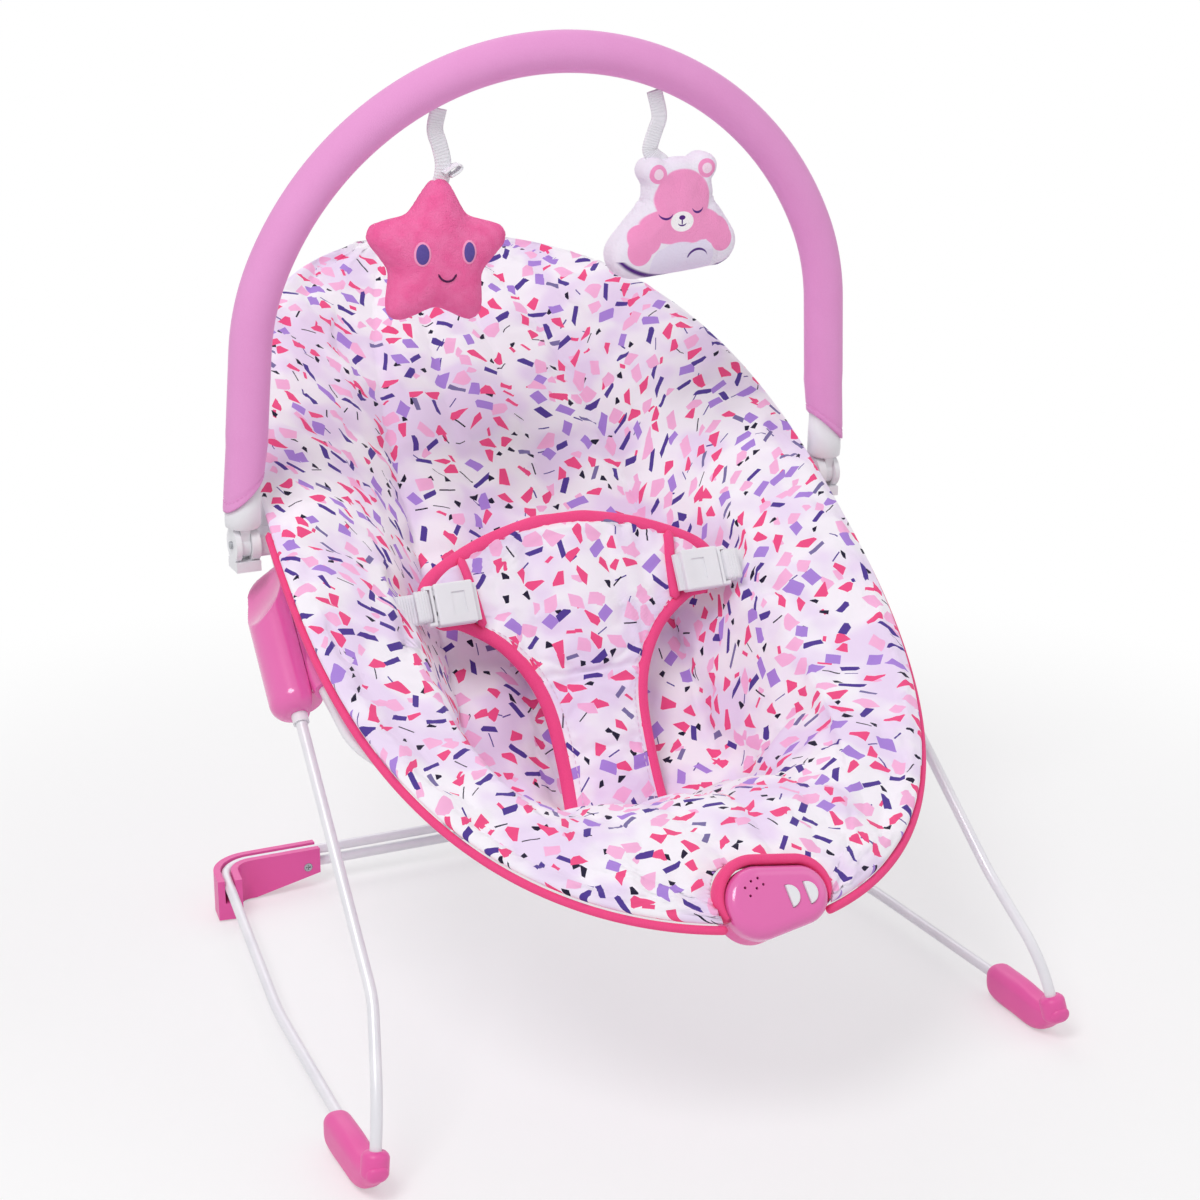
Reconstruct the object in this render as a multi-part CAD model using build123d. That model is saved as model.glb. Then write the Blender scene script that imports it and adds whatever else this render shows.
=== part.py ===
from build123d import *
from math import asin, atan2, cos, degrees, radians, sin
import os

os.makedirs("parts", exist_ok=True)

# Millimetres. X across (left is negative), Y from the front feet to the back, Z up from the floor.
FEET_TO_MIDDLE = 207.4    # from the front feet to the middle of the whole length
FIT = 0.3                 # gap between pieces that move past each other
SEAT_GAP = 0.15           # gap between pieces that sit on each other

# Bent steel rods
ROD_RADIUS = 3.5
FOOT_X = 227.0            # front feet, from the middle plane
PIVOT_Y = -17.0           # the line that the legs spring about
PIVOT_Z = 17.0
FLOOR_ROD_Z = 16.0
FLOOR_ROD_START_Y = -6.0
FLOOR_BOW_X = 217.0
FLOOR_BOW_Y = 190.0
REAR_X = 190.0
REAR_Y = 402.0
REAR_END_X = 160.0        # free end of each rod inside the other side's bracket
REAR_LOW_Z = 17.0
REAR_STEP = 9.3           # one rear rod above the other
REAR_BEND = 22.0
BRACKET_WIDTH = 17.0
BRACKET_SCREW_X = 129.0
LEG_KNEE_DROP = 190.0     # straight run of the leg below the hub
LEG_SHIN = (-221.0, -8.0, 52.0)
LEG_BEND = 90.0
BOUNCE_DOWN = 5.0         # degrees that the seat dips

# Side hubs
HUB_LOW = Vector(-198.0, 181.0, 218.0)
HUB_HIGH = Vector(-193.0, 262.0, 285.0)
HUB_RADIUS = 16.5
HUB_WALL = 2.3
HUB_PARTING = -7.0        # where the cover ends and the core shows
HUB_FACET_LOW = 5.0       # where the slanting facet starts, on the outside
HUB_DISH_RADIUS = 70.0
HUB_DISH_DEPTH = 2.2
LEG_IN_HUB = 44.0
TUBE_INSET = 11.6         # seat tube, inwards from the hub axis
SPOUT = Vector(-184.0, 207.0, 246.5)   # where the front tube enters the hub
SPOUT_DROP = 0.358        # fall of the front tube as it leaves the hub
BACK_NECK = Vector(-184.5, 294.0, 331.0)   # where the back tube meets the rim

# Seat rim
RIM_HALF_WIDTH = 193.0
RIM_MID_Y = 200.0
RIM_FRONT = 270.0
RIM_BACK = 295.0
RIM_HEIGHT = 270.0
RIM_HEIGHT_Y = 184.0
RIM_SLOPE = 0.643
RIM_BEND = 1.98e-4
RIM_EASE = 1.711e-6
PIPING_RADIUS = 3.0
HEM_RADIUS = 6.5
TUBE_IN = 9.2             # seat tube, inwards from the piping
TUBE_FRONT_IN = 30.0      # the same at the front, behind the control unit
TUBE_BELOW = 4.0
LIP_TOP = 8.0             # padded edge above the piping
LIP_THICK = 4.8
LIP_WIDTH = 13.0
PAD_THICK = 10.0
WING_SHARE = 0.66         # inner edge of each wing, as a share of the half width
PANEL_SHARE = 0.44        # edge of the middle panel
CHANNEL_SHARE = 0.15      # sewn lines of the middle panel

# Toy arch
ARCH_PIVOT_Y = 258.0
ARCH_PIVOT_Z = 306.0
ARCH_X = 206.0
ARCH_LEAN = 3.4           # degrees forward
ARCH_SPRING_X = 198.0
ARCH_SPRING_H = 122.0
ARCH_HEIGHT = 293.0
ARCH_SIDE_BEND = 150.0
ARCH_SLEEVE_RADIUS = 13.0
ARCH_CORE_RADIUS = 5.0
ARCH_SLEEVE_START = 20.0
ARCH_CORE_START = 13.0
CUP_RADIUS = 8.5
TONGUE = 6.0
PIN_RADIUS = 2.5
CHEEK_RADIUS = 11.0

# Hanging toys
STAR_X = -82.0
STAR_CENTRE = (-80.0, 479.0)
STAR_REACH = 53.0
STAR_WAIST = 30.0
STAR_TIP = 9.0
STAR_THICK = 34.0
STAR_TURN = 4.0
BEAR_X = 73.0
BEAR_THICK = 24.0
STRAP_WIDTH = 12.0
STRAP_THICK = 2.0
TOY_FORWARD = 15.0        # toys in front of the arch's pivots

# Control unit
UNIT_CENTRE = (0.0, -62.0, 160.0)
UNIT_TILT = 35.0
UNIT_BIG = 21.0
UNIT_BIG_X = -11.0
UNIT_SMALL = 17.0
UNIT_SMALL_X = 15.0
UNIT_FACE = 6.0
UNIT_SPLIT = -6.0
UNIT_BACK = -18.0
UNIT_WALL = 2.0
BUTTON_TRAVEL = 1.5
BUTTON_TURN = 8.0
BOARD_TOP = -3.2          # face of the circuit board, in the unit
SWITCH_HEIGHT = 1.1
MOTOR_Y = 13.2
MOTOR_Z = -11.0
CELL_Z = -10.6
SOUND_HOLES = [(-20, 9), (-15.5, 12), (-11, 13), (-18, 4), (-13, 7.5), (-8.5, 9)]
POCKET_THICK = 5.0
POCKET_RISE = 2.4

# Crotch panel and buckles
PANEL_FOOT = (0.0, 146.0, 128.0)
PANEL_LEAN = 28.7
PANEL_THICK = 9.0
BINDING_RADIUS = 3.0
BUCKLE_X = 86.0
BUCKLE_V = 150.0
WEBBING_WIDTH = 20.0
WEBBING_THICK = 2.0
PANEL_SIDE = [(33, -30), (30, 38), (34, 84), (52, 118), (78, 138)]
PANEL_EAR = [(92, 141), (101, 152), (92, 166), (58, 184)]
PANEL_TOP = (22, 195)

HUB_AXIS = (HUB_HIGH - HUB_LOW).normalized()
HUB_LENGTH = (HUB_HIGH - HUB_LOW).length
HUB_PLANE = Plane(origin=(HUB_LOW + HUB_HIGH) / 2, x_dir=(-1, 0, 0), z_dir=HUB_AXIS)
REAR_HIGH_Z = REAR_LOW_Z + REAR_STEP
UNIT_PLANE = Plane(
    origin=UNIT_CENTRE,
    x_dir=(1, 0, 0),
    z_dir=(0, -cos(radians(UNIT_TILT)), sin(radians(UNIT_TILT))),
)
PANEL_PLANE = Plane(
    origin=PANEL_FOOT,
    x_dir=(1, 0, 0),
    z_dir=(0, -cos(radians(PANEL_LEAN)), sin(radians(PANEL_LEAN))),
)


def rod_along(path, radius):
    return sweep(Plane(origin=path @ 0, z_dir=path % 0) * Circle(radius), path=path)


def rod_between(start, end, radius):
    line = Vector(end) - Vector(start)
    return extrude(Plane(origin=start, z_dir=line) * Circle(radius), line.length)


def block(x0, x1, y0, y1, z0, z1):
    return Pos((x0 + x1) / 2, (y0 + y1) / 2, (z0 + z1) / 2) * Box(x1 - x0, y1 - y0, z1 - z0)


def facing(shape, way):
    return shape.faces().filter_by(lambda face: face.normal_at().dot(way) > 0.99)


def flip(shape):
    return mirror(shape, about=Plane.YZ)


# Rods, feet and rear brackets

def floor_rod_front():
    return Vector(-FOOT_X, FLOOR_ROD_START_Y, FLOOR_ROD_Z)


def floor_rod(rear_z):
    front = floor_rod_front()
    bow = Vector(-FLOOR_BOW_X, FLOOR_BOW_Y, FLOOR_ROD_Z + 2)
    corner = Vector(-REAR_X, REAR_Y, rear_z)
    run = (bow + corner) / 2
    side = FilletPolyline(front, bow, run, radius=400)
    rear = FilletPolyline(run, corner, (REAR_END_X, REAR_Y, rear_z), radius=REAR_BEND)
    return rod_along(Wire([*side.edges(), *rear.edges()]), ROD_RADIUS)


def leg_path():
    top = HUB_LOW + HUB_AXIS * LEG_IN_HUB
    knee = HUB_LOW - HUB_AXIS * LEG_KNEE_DROP
    return FilletPolyline(top, knee, LEG_SHIN, (-FOOT_X, PIVOT_Y, PIVOT_Z), radius=LEG_BEND)


def leg_rod():
    return rod_along(leg_path(), ROD_RADIUS)


def front_foot():
    run = Vector(-FLOOR_BOW_X, FLOOR_BOW_Y, FLOOR_ROD_Z + 2) - floor_rod_front()
    sleeve = extrude(Plane(origin=floor_rod_front(), z_dir=run) * Circle(7.6), 52)
    sleeve = fillet(sleeve.edges().group_by(Axis.Y)[-1], 1.5)
    boot = block(-FOOT_X - 9.5, -FOOT_X + 9.5, -32, 12, 0, 26)
    boot = fillet(boot.edges().filter_by(Axis.Z), 8)
    boot = fillet(boot.edges().group_by(Axis.Z)[-1], 7)
    boot = fillet(boot.edges().group_by(Axis.Z)[0], 1.5)
    shin = Vector(LEG_SHIN) - Vector(-FOOT_X, PIVOT_Y, PIVOT_Z)
    socket = Plane(origin=(-FOOT_X, PIVOT_Y, PIVOT_Z), x_dir=(0, 1, 0), z_dir=shin)
    collar = extrude(socket * SlotCenterToCenter(4, 15), 14)
    collar = fillet(collar.faces().sort_by(Axis.Z)[-1].edges(), 2)
    foot = boot + sleeve + collar
    bore = Plane(origin=floor_rod_front() - run.normalized() * 0.5, z_dir=run)
    foot -= extrude(bore * Circle(ROD_RADIUS + SEAT_GAP), 60)
    swing = 2 * 14 * sin(radians(BOUNCE_DOWN))
    slot = socket.offset(-5)
    foot -= extrude(slot * SlotCenterToCenter(swing, 2 * (ROD_RADIUS + FIT)), 25)
    return foot


def bracket_path(reach):
    bow = Vector(-FLOOR_BOW_X, FLOOR_BOW_Y, 0)
    corner = Vector(-REAR_X, REAR_Y, 0)
    arm = corner + (bow - corner).normalized() * 36
    return FilletPolyline(arm, corner, (-REAR_X + reach, REAR_Y, 0), radius=REAR_BEND)


def rear_pad_block(grow):
    inwards = REAR_BEND * (1 - sin(radians(45)))
    place = Pos(-REAR_X + inwards, REAR_Y - inwards, 0) * Rot(0, 0, -42)
    return extrude(place * RectangleRounded(12 + 2 * grow, 22 + 2 * grow, 4), 3.2 + grow)


def screw_rod(near, far, screw_z, radius):
    front = REAR_Y - BRACKET_WIDTH / 2
    return rod_between((-BRACKET_SCREW_X, front + near, screw_z), (-BRACKET_SCREW_X, front + far, screw_z), radius)


def rear_bracket(screw_z):
    walls = Pos(0, 0, 1.2) * extrude(trace(bracket_path(70), line_width=BRACKET_WIDTH), 29)
    floor = REAR_LOW_Z - ROD_RADIUS - SEAT_GAP
    channel = extrude(trace(bracket_path(90), line_width=2 * (ROD_RADIUS + SEAT_GAP)), 40)
    walls -= Pos(0, 0, floor) * channel
    under = make_face(Polyline((-168, -1), (-168, 1.2), (-110, 14), (-110, -1), close=True))
    walls -= extrude(Plane.XZ * under, -REAR_Y - 30)
    walls -= rear_pad_block(SEAT_GAP)
    walls -= screw_rod(-2, BRACKET_WIDTH - 1.5, screw_z, 1.7)
    return walls - screw_rod(-2, 2.2, screw_z, 3.2)


def bracket_screw(screw_z):
    head = screw_rod(0, 2.05, screw_z, 3.0)
    slot = Pos(-BRACKET_SCREW_X, REAR_Y - BRACKET_WIDTH / 2, screw_z)
    head -= slot * Box(3.6, 2, 0.8)
    head -= slot * Box(0.8, 2, 3.6)
    return head + screw_rod(2, BRACKET_WIDTH - 2, screw_z, 1.6)


# Hubs

def hub_capsule(radius, low, high):
    return extrude(HUB_PLANE.offset(low) * Circle(radius), high - low)


def facet_plane(inset):
    run = 2 * HUB_RADIUS
    rise = HUB_LENGTH / 2 - HUB_FACET_LOW
    mid = HUB_PLANE.from_local_coords(Vector(0, 0, HUB_FACET_LOW + rise / 2))
    normal = HUB_PLANE.from_local_coords(Vector(rise, 0, run)) - HUB_PLANE.origin
    plane = Plane(origin=mid, x_dir=(0, 1, 0), z_dir=normal)
    return plane.offset(-inset)


def beyond_facet(inset):
    return extrude(facet_plane(inset) * Rectangle(200, 200), 100)


def spout_point(out):
    return SPOUT - Vector(0, out, out * SPOUT_DROP)


def tube_spout(radius, out):
    return rod_between(SPOUT, spout_point(out), radius)


def hub_screw_places():
    return [(-9.3, -34.0), (-9.3, -12.0)]


def hub_rod(y, z, radius, x0, x1):
    start = HUB_PLANE.from_local_coords(Vector(x0, y, z))
    end = HUB_PLANE.from_local_coords(Vector(x1, y, z))
    return rod_between(start, end, radius)


def hub_side(x0, x1, low, high):
    place = HUB_PLANE.location * Pos((x0 + x1) / 2, 0, (low + high) / 2)
    return place * Box(x1 - x0, 60, high - low)


def hub_cover():
    half = HUB_LENGTH / 2
    body = hub_capsule(HUB_RADIUS, -half, half)
    body = fillet(body.edges().sort_by(Axis.Z)[0], 10)
    body -= beyond_facet(0)
    dish = facet_plane(HUB_DISH_DEPTH).offset(HUB_DISH_RADIUS)
    body -= dish.location * Sphere(HUB_DISH_RADIUS)
    room = hub_capsule(HUB_RADIUS - HUB_WALL, -half + 7, half)
    room -= beyond_facet(HUB_DISH_DEPTH + HUB_WALL)
    body -= room
    body -= hub_side(-60, HUB_PARTING, -100, 100)
    for y, z in hub_screw_places():
        post = hub_rod(y, z, 3.0, HUB_PARTING, 12) & hub_capsule(HUB_RADIUS - 1, -half, half)
        body += post
        body -= hub_rod(y, z, 1.3, HUB_PARTING - 1, 2)
    body -= hub_capsule(5.2, -half - 5, -half + 20)
    body -= tube_spout(6.6, 60)
    return body


def hub_core():
    half = HUB_LENGTH / 2
    side = hub_capsule(HUB_RADIUS, -half + 8, half)
    side &= hub_side(-60, HUB_PARTING - SEAT_GAP, -100, 100)
    side -= beyond_facet(0)
    plug = hub_capsule(HUB_RADIUS - HUB_WALL - SEAT_GAP, -half + 7.5, -2)
    plug &= hub_side(HUB_PARTING - 2, 60, -100, 100)
    core = side + plug + tube_spout(6.2, 34)
    for y, z in hub_screw_places():
        core -= hub_rod(y, z, 3.2, HUB_PARTING - SEAT_GAP, 30)
        core -= hub_rod(y, z, 1.6, -30, 0)
        core -= hub_rod(y, z, 2.9, -30, HUB_PARTING - 4)
    core -= hub_capsule(ROD_RADIUS + SEAT_GAP, -half - 5, -half + LEG_IN_HUB + 0.5)
    core -= tube_spout(ROD_RADIUS + SEAT_GAP, 60)
    core -= rod_along(back_tube_end(), ROD_RADIUS + SEAT_GAP)
    return core


def hub_screws():
    screws = []
    for y, z in hub_screw_places():
        head = hub_rod(y, z, 2.7, HUB_PARTING - 6, HUB_PARTING - 4.05)
        screws.append(head + hub_rod(y, z, 1.2, HUB_PARTING - 4.1, 1.5))
    return screws


def leg_ferrule():
    half = HUB_LENGTH / 2
    ring = hub_capsule(5.0, -half - 6, -half + 7.2)
    return ring - hub_capsule(ROD_RADIUS + SEAT_GAP, -half - 8, -half + 9)


# Seat rim, tubes and hems

def rim_height(y):
    along = y - RIM_HEIGHT_Y
    return RIM_HEIGHT + RIM_SLOPE * along + RIM_BEND * along**2 - RIM_EASE * along**3


def rim_width(y):
    if y < RIM_MID_Y:
        share = min((RIM_MID_Y - y) / RIM_FRONT, 1)
        return RIM_HALF_WIDTH * (1 - share**2.2) ** (1 / 1.8)
    share = min((y - RIM_MID_Y) / RIM_BACK, 1)
    return RIM_HALF_WIDTH * (1 - share**2.4) ** 0.5


def rim_point(turn, inset, end_inset, below):
    ahead = cos(radians(turn))
    aside = sin(radians(turn))
    reach, long_power, wide_power = (RIM_FRONT, 2.2, 1.8) if ahead > 0 else (RIM_BACK, 2.4, 2.0)
    way = -1 if ahead > 0 else 1
    y = RIM_MID_Y + way * (reach - end_inset) * abs(ahead) ** (2 / long_power)
    x = (RIM_HALF_WIDTH - inset) * abs(aside) ** (2 / wide_power)
    return Vector(x if aside > 0 else -x, y, rim_height(y) - below)


def turns(last, count):
    return [last * (2 * i + 1 - count) / (count - 1) for i in range(count)]


def front_ring():
    return [rim_point(turn, TUBE_IN + 4, TUBE_FRONT_IN, TUBE_BELOW) for turn in turns(58, 8)]


def back_ring():
    return [rim_point(180 - turn, TUBE_IN, TUBE_IN, TUBE_BELOW) for turn in turns(62, 12)]


def other_side(points):
    return [Vector(-p.X, p.Y, p.Z) for p in reversed(points)]


def front_tube_path():
    left = [spout_point(2), spout_point(83)]
    return FilletPolyline(*left, *front_ring(), *other_side(left), radius=58)


def back_tube_point(along):
    return HUB_PLANE.from_local_coords(Vector(-TUBE_INSET, 0, along))


def back_tube_end():
    return Wire([Line(back_tube_point(13), back_tube_point(70))])


def back_tube_path():
    left = [back_tube_point(13.5), back_tube_point(60), BACK_NECK]
    return FilletPolyline(*left, *back_ring(), *other_side(left), radius=30)


def seat_tube(path):
    return rod_along(path, ROD_RADIUS)


def hem(path):
    return rod_along(path, HEM_RADIUS) - rod_along(path, ROD_RADIUS + SEAT_GAP)


def front_hem_path():
    return FilletPolyline(*front_ring(), radius=58)


def front_hem():
    return hem(front_hem_path()) - block(-33, 33, -100, 60, 0, 400)


def back_hem_path():
    return FilletPolyline(*back_ring(), radius=30)


def back_hem():
    return hem(back_hem_path())


def piping_rod(radius):
    ring = [rim_point(turn, 0, 0, 0) for turn in turns(97, 24)]
    return rod_along(FilletPolyline(*ring, radius=60), radius)


def piping():
    return piping_rod(PIPING_RADIUS) - pocket_block(POCKET_THICK + SEAT_GAP)


# Padded seat

# For each station: distance from the feet, middle and wing heights against the rim, rise of the channels
PAD_STATIONS = [
    (-66.5, 9.0, 9.0, 0.6),
    (-40.0, 14.0, 12.0, 1.0),
    (30.0, 0.0, 6.0, 1.5),
    (75.0, -39.0, -2.0, 2.0),
    (110.0, -81.0, -8.0, 2.5),
    (150.0, -118.0, -12.0, 3.0),
    (190.0, -124.0, -13.0, 3.0),
    (230.0, -101.0, -12.0, 3.5),
    (280.0, -71.0, -10.0, 4.0),
    (340.0, -46.0, -8.0, 4.0),
    (410.0, -21.0, -4.0, 4.0),
    (460.0, -2.0, 3.0, 3.0),
    (490.0, 9.0, 9.0, 1.0),
]


def bowed(start, end, rise):
    middle = (start[0] + end[0]) / 2, (start[1] + end[1]) / 2 + rise
    return ThreePointArc(start, middle, end)


def pad_section(y, middle, wing, channel):
    wide = rim_width(y) - PIPING_RADIUS - FIT
    rim = rim_height(y)
    lip = min(LIP_WIDTH, 0.2 * wide)
    middle_z = rim + middle
    edge_z = middle_z + 0.14 * (wing - middle)
    top = [
        (wide, rim + LIP_TOP),
        (wide - lip, rim + LIP_TOP),
        (WING_SHARE * wide, rim + wing),
        (PANEL_SHARE * wide, edge_z),
        (CHANNEL_SHARE * wide, middle_z),
    ]
    low = [
        (wide, rim + LIP_TOP - LIP_THICK),
        (wide - lip, rim + LIP_TOP - LIP_THICK),
        (WING_SHARE * wide + 4, rim + wing - PAD_THICK),
        (PANEL_SHARE * wide + 4, edge_z - PAD_THICK),
    ]
    rises = [3.0, -0.05 * (wing - middle) - 0.6, channel]
    right = [Line(top[0], top[1])]
    right += [bowed(top[i + 1], top[i + 2], rises[i]) for i in range(3)]
    centre = bowed(top[4], (-top[4][0], top[4][1]), channel)
    under = [Line(low[0], low[1])]
    under += [bowed(low[1], low[2], 0.6), bowed(low[2], low[3], -1.0)]
    base = bowed(low[3], (-low[3][0], low[3][1]), -0.14 * (wing - middle) - 1.0)
    end = Line(top[0], low[0])
    half = [*right, *under, end]
    other = [edge.mirror(Plane.YZ) for edge in half]
    outline = Wire([*half, *other, centre, base])
    return Plane(origin=(0, y, 0), x_dir=(1, 0, 0), z_dir=(0, -1, 0)) * make_face(outline)


def seat_pad():
    pad = loft([pad_section(*station) for station in PAD_STATIONS])
    pad -= pocket_block(POCKET_THICK + SEAT_GAP)
    pad -= rod_along(front_hem_path(), HEM_RADIUS + SEAT_GAP)
    pad -= rod_along(back_hem_path(), HEM_RADIUS + SEAT_GAP)
    pad -= piping_rod(PIPING_RADIUS + SEAT_GAP)
    return max(pad.solids(), key=lambda piece: piece.volume)


# Control unit

def unit_outline(grow, rise=0.0):
    big = CenterArc((UNIT_BIG_X, rise), UNIT_BIG + grow, 0, 360)
    small = CenterArc((UNIT_SMALL_X, rise), UNIT_SMALL + grow, 0, 360)
    return make_hull([big, small])


def unit_slab(grow, low, high, rise=0.0):
    return extrude(UNIT_PLANE.offset(low) * unit_outline(grow, rise), high - low)


def pocket_block(grow):
    return unit_slab(grow, -45, 40, POCKET_RISE)


def unit_pocket():
    return unit_slab(POCKET_THICK, -11, 1, POCKET_RISE) - unit_slab(FIT, -20, 20)


def button_face(grow):
    straight = Line((-3 - grow, -6.5 - grow), (-3 - grow, 6.5 + grow))
    round_side = ThreePointArc((-3 - grow, 6.5 + grow), (3.5 + grow, 0), (-3 - grow, -6.5 - grow))
    return make_face([straight, round_side])


def button_places():
    return [8.0, 19.5]


def button_slab(x, grow, low, high):
    place = UNIT_PLANE.offset(low) * Pos(x, 0, 0) * Rot(0, 0, BUTTON_TURN)
    return extrude(place * button_face(grow), high - low)


def button(x):
    under = UNIT_FACE - UNIT_WALL - SEAT_GAP
    cap = button_slab(x, 0, under - 1, UNIT_FACE + 1.6)
    cap = fillet(cap.faces().sort_by(Axis.Y)[0].edges(), 0.8)
    flange = button_slab(x, 1.0, under - 1.2, under)
    low = BOARD_TOP + SWITCH_HEIGHT + BUTTON_TRAVEL + SEAT_GAP
    stem = extrude(UNIT_PLANE.offset(low) * Pos(x, 0, 0) * Circle(1.6), under - 1 - low)
    return cap + flange + stem


def unit_front_shell():
    shell = unit_slab(0, UNIT_SPLIT, UNIT_FACE)
    shell = fillet(facing(shell, UNIT_PLANE.z_dir).edges(), 7)
    room = unit_slab(-UNIT_WALL, UNIT_SPLIT - 1, UNIT_FACE - UNIT_WALL)
    shell -= fillet(facing(room, UNIT_PLANE.z_dir).edges(), 5.5)
    for x in button_places():
        shell -= button_slab(x, FIT, 0, 30)
    for x, y in SOUND_HOLES:
        shell -= extrude(UNIT_PLANE * Pos(x, y, 0) * Circle(0.8), 30)
    return shell


def unit_back_shell():
    shell = unit_slab(-0.4, UNIT_BACK, UNIT_SPLIT - SEAT_GAP)
    shell -= unit_slab(-UNIT_WALL - 0.4, UNIT_BACK + UNIT_WALL, UNIT_SPLIT + 1)
    door = UNIT_PLANE.offset(UNIT_BACK - 1) * Pos(0, -5, 0) * RectangleRounded(40.4, 18.4, 2.2)
    shell -= extrude(door, 5)
    tube = front_tube_path() @ 0.5
    local = UNIT_PLANE.to_local_coords(tube)
    depth = UNIT_BACK - local.Z + 6
    hook = UNIT_PLANE.location * Pos(0, local.Y, UNIT_BACK - depth / 2) * Box(24, 11, depth)
    hook -= rod_between(tube - Vector(40, 0, 0), tube + Vector(40, 0, 0), ROD_RADIUS + SEAT_GAP)
    hook -= UNIT_PLANE.location * Pos(0, local.Y - 6, local.Z) * Box(60, 12, 6.0)
    return shell + hook


def battery_door():
    door = UNIT_PLANE.offset(UNIT_BACK) * Pos(0, -5, 0) * RectangleRounded(40, 18, 2)
    door = extrude(door, UNIT_WALL - SEAT_GAP)
    door -= UNIT_PLANE.location * Pos(15, -5, UNIT_BACK) * Cylinder(1.2, 10)
    return door


def cells():
    rows = []
    for y in (-7.4, 3.1):
        body = UNIT_PLANE.location * Pos(-3, y, CELL_Z) * Rot(0, 90, 0) * Cylinder(5.1, 43)
        nub = UNIT_PLANE.location * Pos(19, y, CELL_Z) * Rot(0, 90, 0) * Cylinder(1.8, 1.2)
        rows.append(body + nub)
    return rows


def cell_contacts():
    plates = []
    for x in (-25.0, 20.1):
        plates.append(UNIT_PLANE.location * Pos(x, -2.1, CELL_Z) * Box(0.6, 15, 7))
    return plates


def circuit_board():
    board = extrude(UNIT_PLANE.offset(BOARD_TOP) * Pos(2, -1, 0) * RectangleRounded(42, 22, 3), -1.4)
    for x in button_places():
        switch = Plane.XY * Pos(x, 0, 0) * Rectangle(5, 5)
        board += extrude(UNIT_PLANE.offset(BOARD_TOP) * switch, SWITCH_HEIGHT)
    return board


def loudspeaker():
    ring = UNIT_PLANE.location * Pos(-12, 6, -1.2) * Cylinder(9.5, 3.6)
    cone = UNIT_PLANE.location * Pos(-12, 6, 3.4) * Sphere(5)
    return ring - cone


def vibration_motor():
    return UNIT_PLANE.location * Pos(-12, MOTOR_Y, MOTOR_Z) * Rot(0, 90, 0) * Cylinder(3.0, 13)


def motor_weight():
    place = UNIT_PLANE.location * Pos(-0.5, MOTOR_Y, MOTOR_Z) * Rot(0, 90, 0)
    disc = Cylinder(2.8, 4) & Pos(2, 0, 0) * Box(4, 10, 10)
    shaft = Pos(0, 0, -1.4) * Cylinder(0.7, 6.9)
    return place * (disc + shaft)


# Crotch panel, binding, straps and buckles

def panel_edge():
    right = [*PANEL_SIDE, *PANEL_EAR, PANEL_TOP]
    left = [(-x, v) for x, v in reversed(right)]
    return FilletPolyline(*right, *left, radius=5)


def crotch_panel(pad):
    edge = panel_edge()
    face = make_face([*edge.edges(), Line(edge @ 1, edge @ 0)])
    panel = extrude(PANEL_PLANE.offset(-PANEL_THICK / 2) * face, PANEL_THICK)
    panel = fillet(facing(panel, PANEL_PLANE.z_dir).edges(), 2.0)
    panel -= block(-60, 60, 90, 250, 0, 126)
    return panel - pad


def crotch_binding(panel, pad):
    edge = PANEL_PLANE * panel_edge()
    bead = rod_along(Wire(edge.edges()), BINDING_RADIUS + PANEL_THICK / 4)
    bead -= block(-60, 60, 90, 250, 0, 127)
    bead = bead - panel - pad
    return max(bead.solids(), key=lambda piece: piece.volume)


BUCKLE_PLANE = Plane(
    origin=PANEL_PLANE.from_local_coords(Vector(-BUCKLE_X, BUCKLE_V, PANEL_THICK / 2 + BINDING_RADIUS + 1.2)),
    x_dir=(1, 0, 0),
    z_dir=PANEL_PLANE.z_dir,
)


def in_buckle(x, y, z, shape):
    return BUCKLE_PLANE.location * Pos(x, y, z) * shape


def buckle_socket():
    shell = in_buckle(0, 0, 4, Box(26, 27, 9))
    shell = fillet(shell.edges(), 1.5)
    shell -= in_buckle(-2, 0, 4, Box(26, 20.6, 5.4))
    shell -= in_buckle(2, 0, 8.5, Box(9, 14, 2))
    shell += in_buckle(14.5, 0, 2.0, Box(4, 24, 3))
    return shell


def buckle_tongue():
    bar = in_buckle(-16.5, 0, 4, Box(6, 26, 6))
    bar = fillet(bar.edges(), 1.2)
    bar -= in_buckle(-17, 0, 4, Box(2.6, WEBBING_WIDTH + 1, 20))
    plate = in_buckle(-7, 0, 4, Box(14, 8, 3.2))
    arms = [in_buckle(-5, y, 4, Box(18, 3.4, 4.2)) for y in (-8.2, 8.2)]
    return bar + plate + arms[0] + arms[1]


def lap_strap(pad):
    web = in_buckle(-46, 0, -0.4, Box(60, WEBBING_WIDTH, WEBBING_THICK))
    web += in_buckle(-17, 0, 3.8, Box(WEBBING_THICK, WEBBING_WIDTH, 10.4))
    web += in_buckle(-21, 0, 8.2, Box(10, WEBBING_WIDTH, WEBBING_THICK))
    return max((web - pad).solids(), key=lambda piece: piece.bounding_box().max.X)


# Toy arch with its fittings

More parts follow.
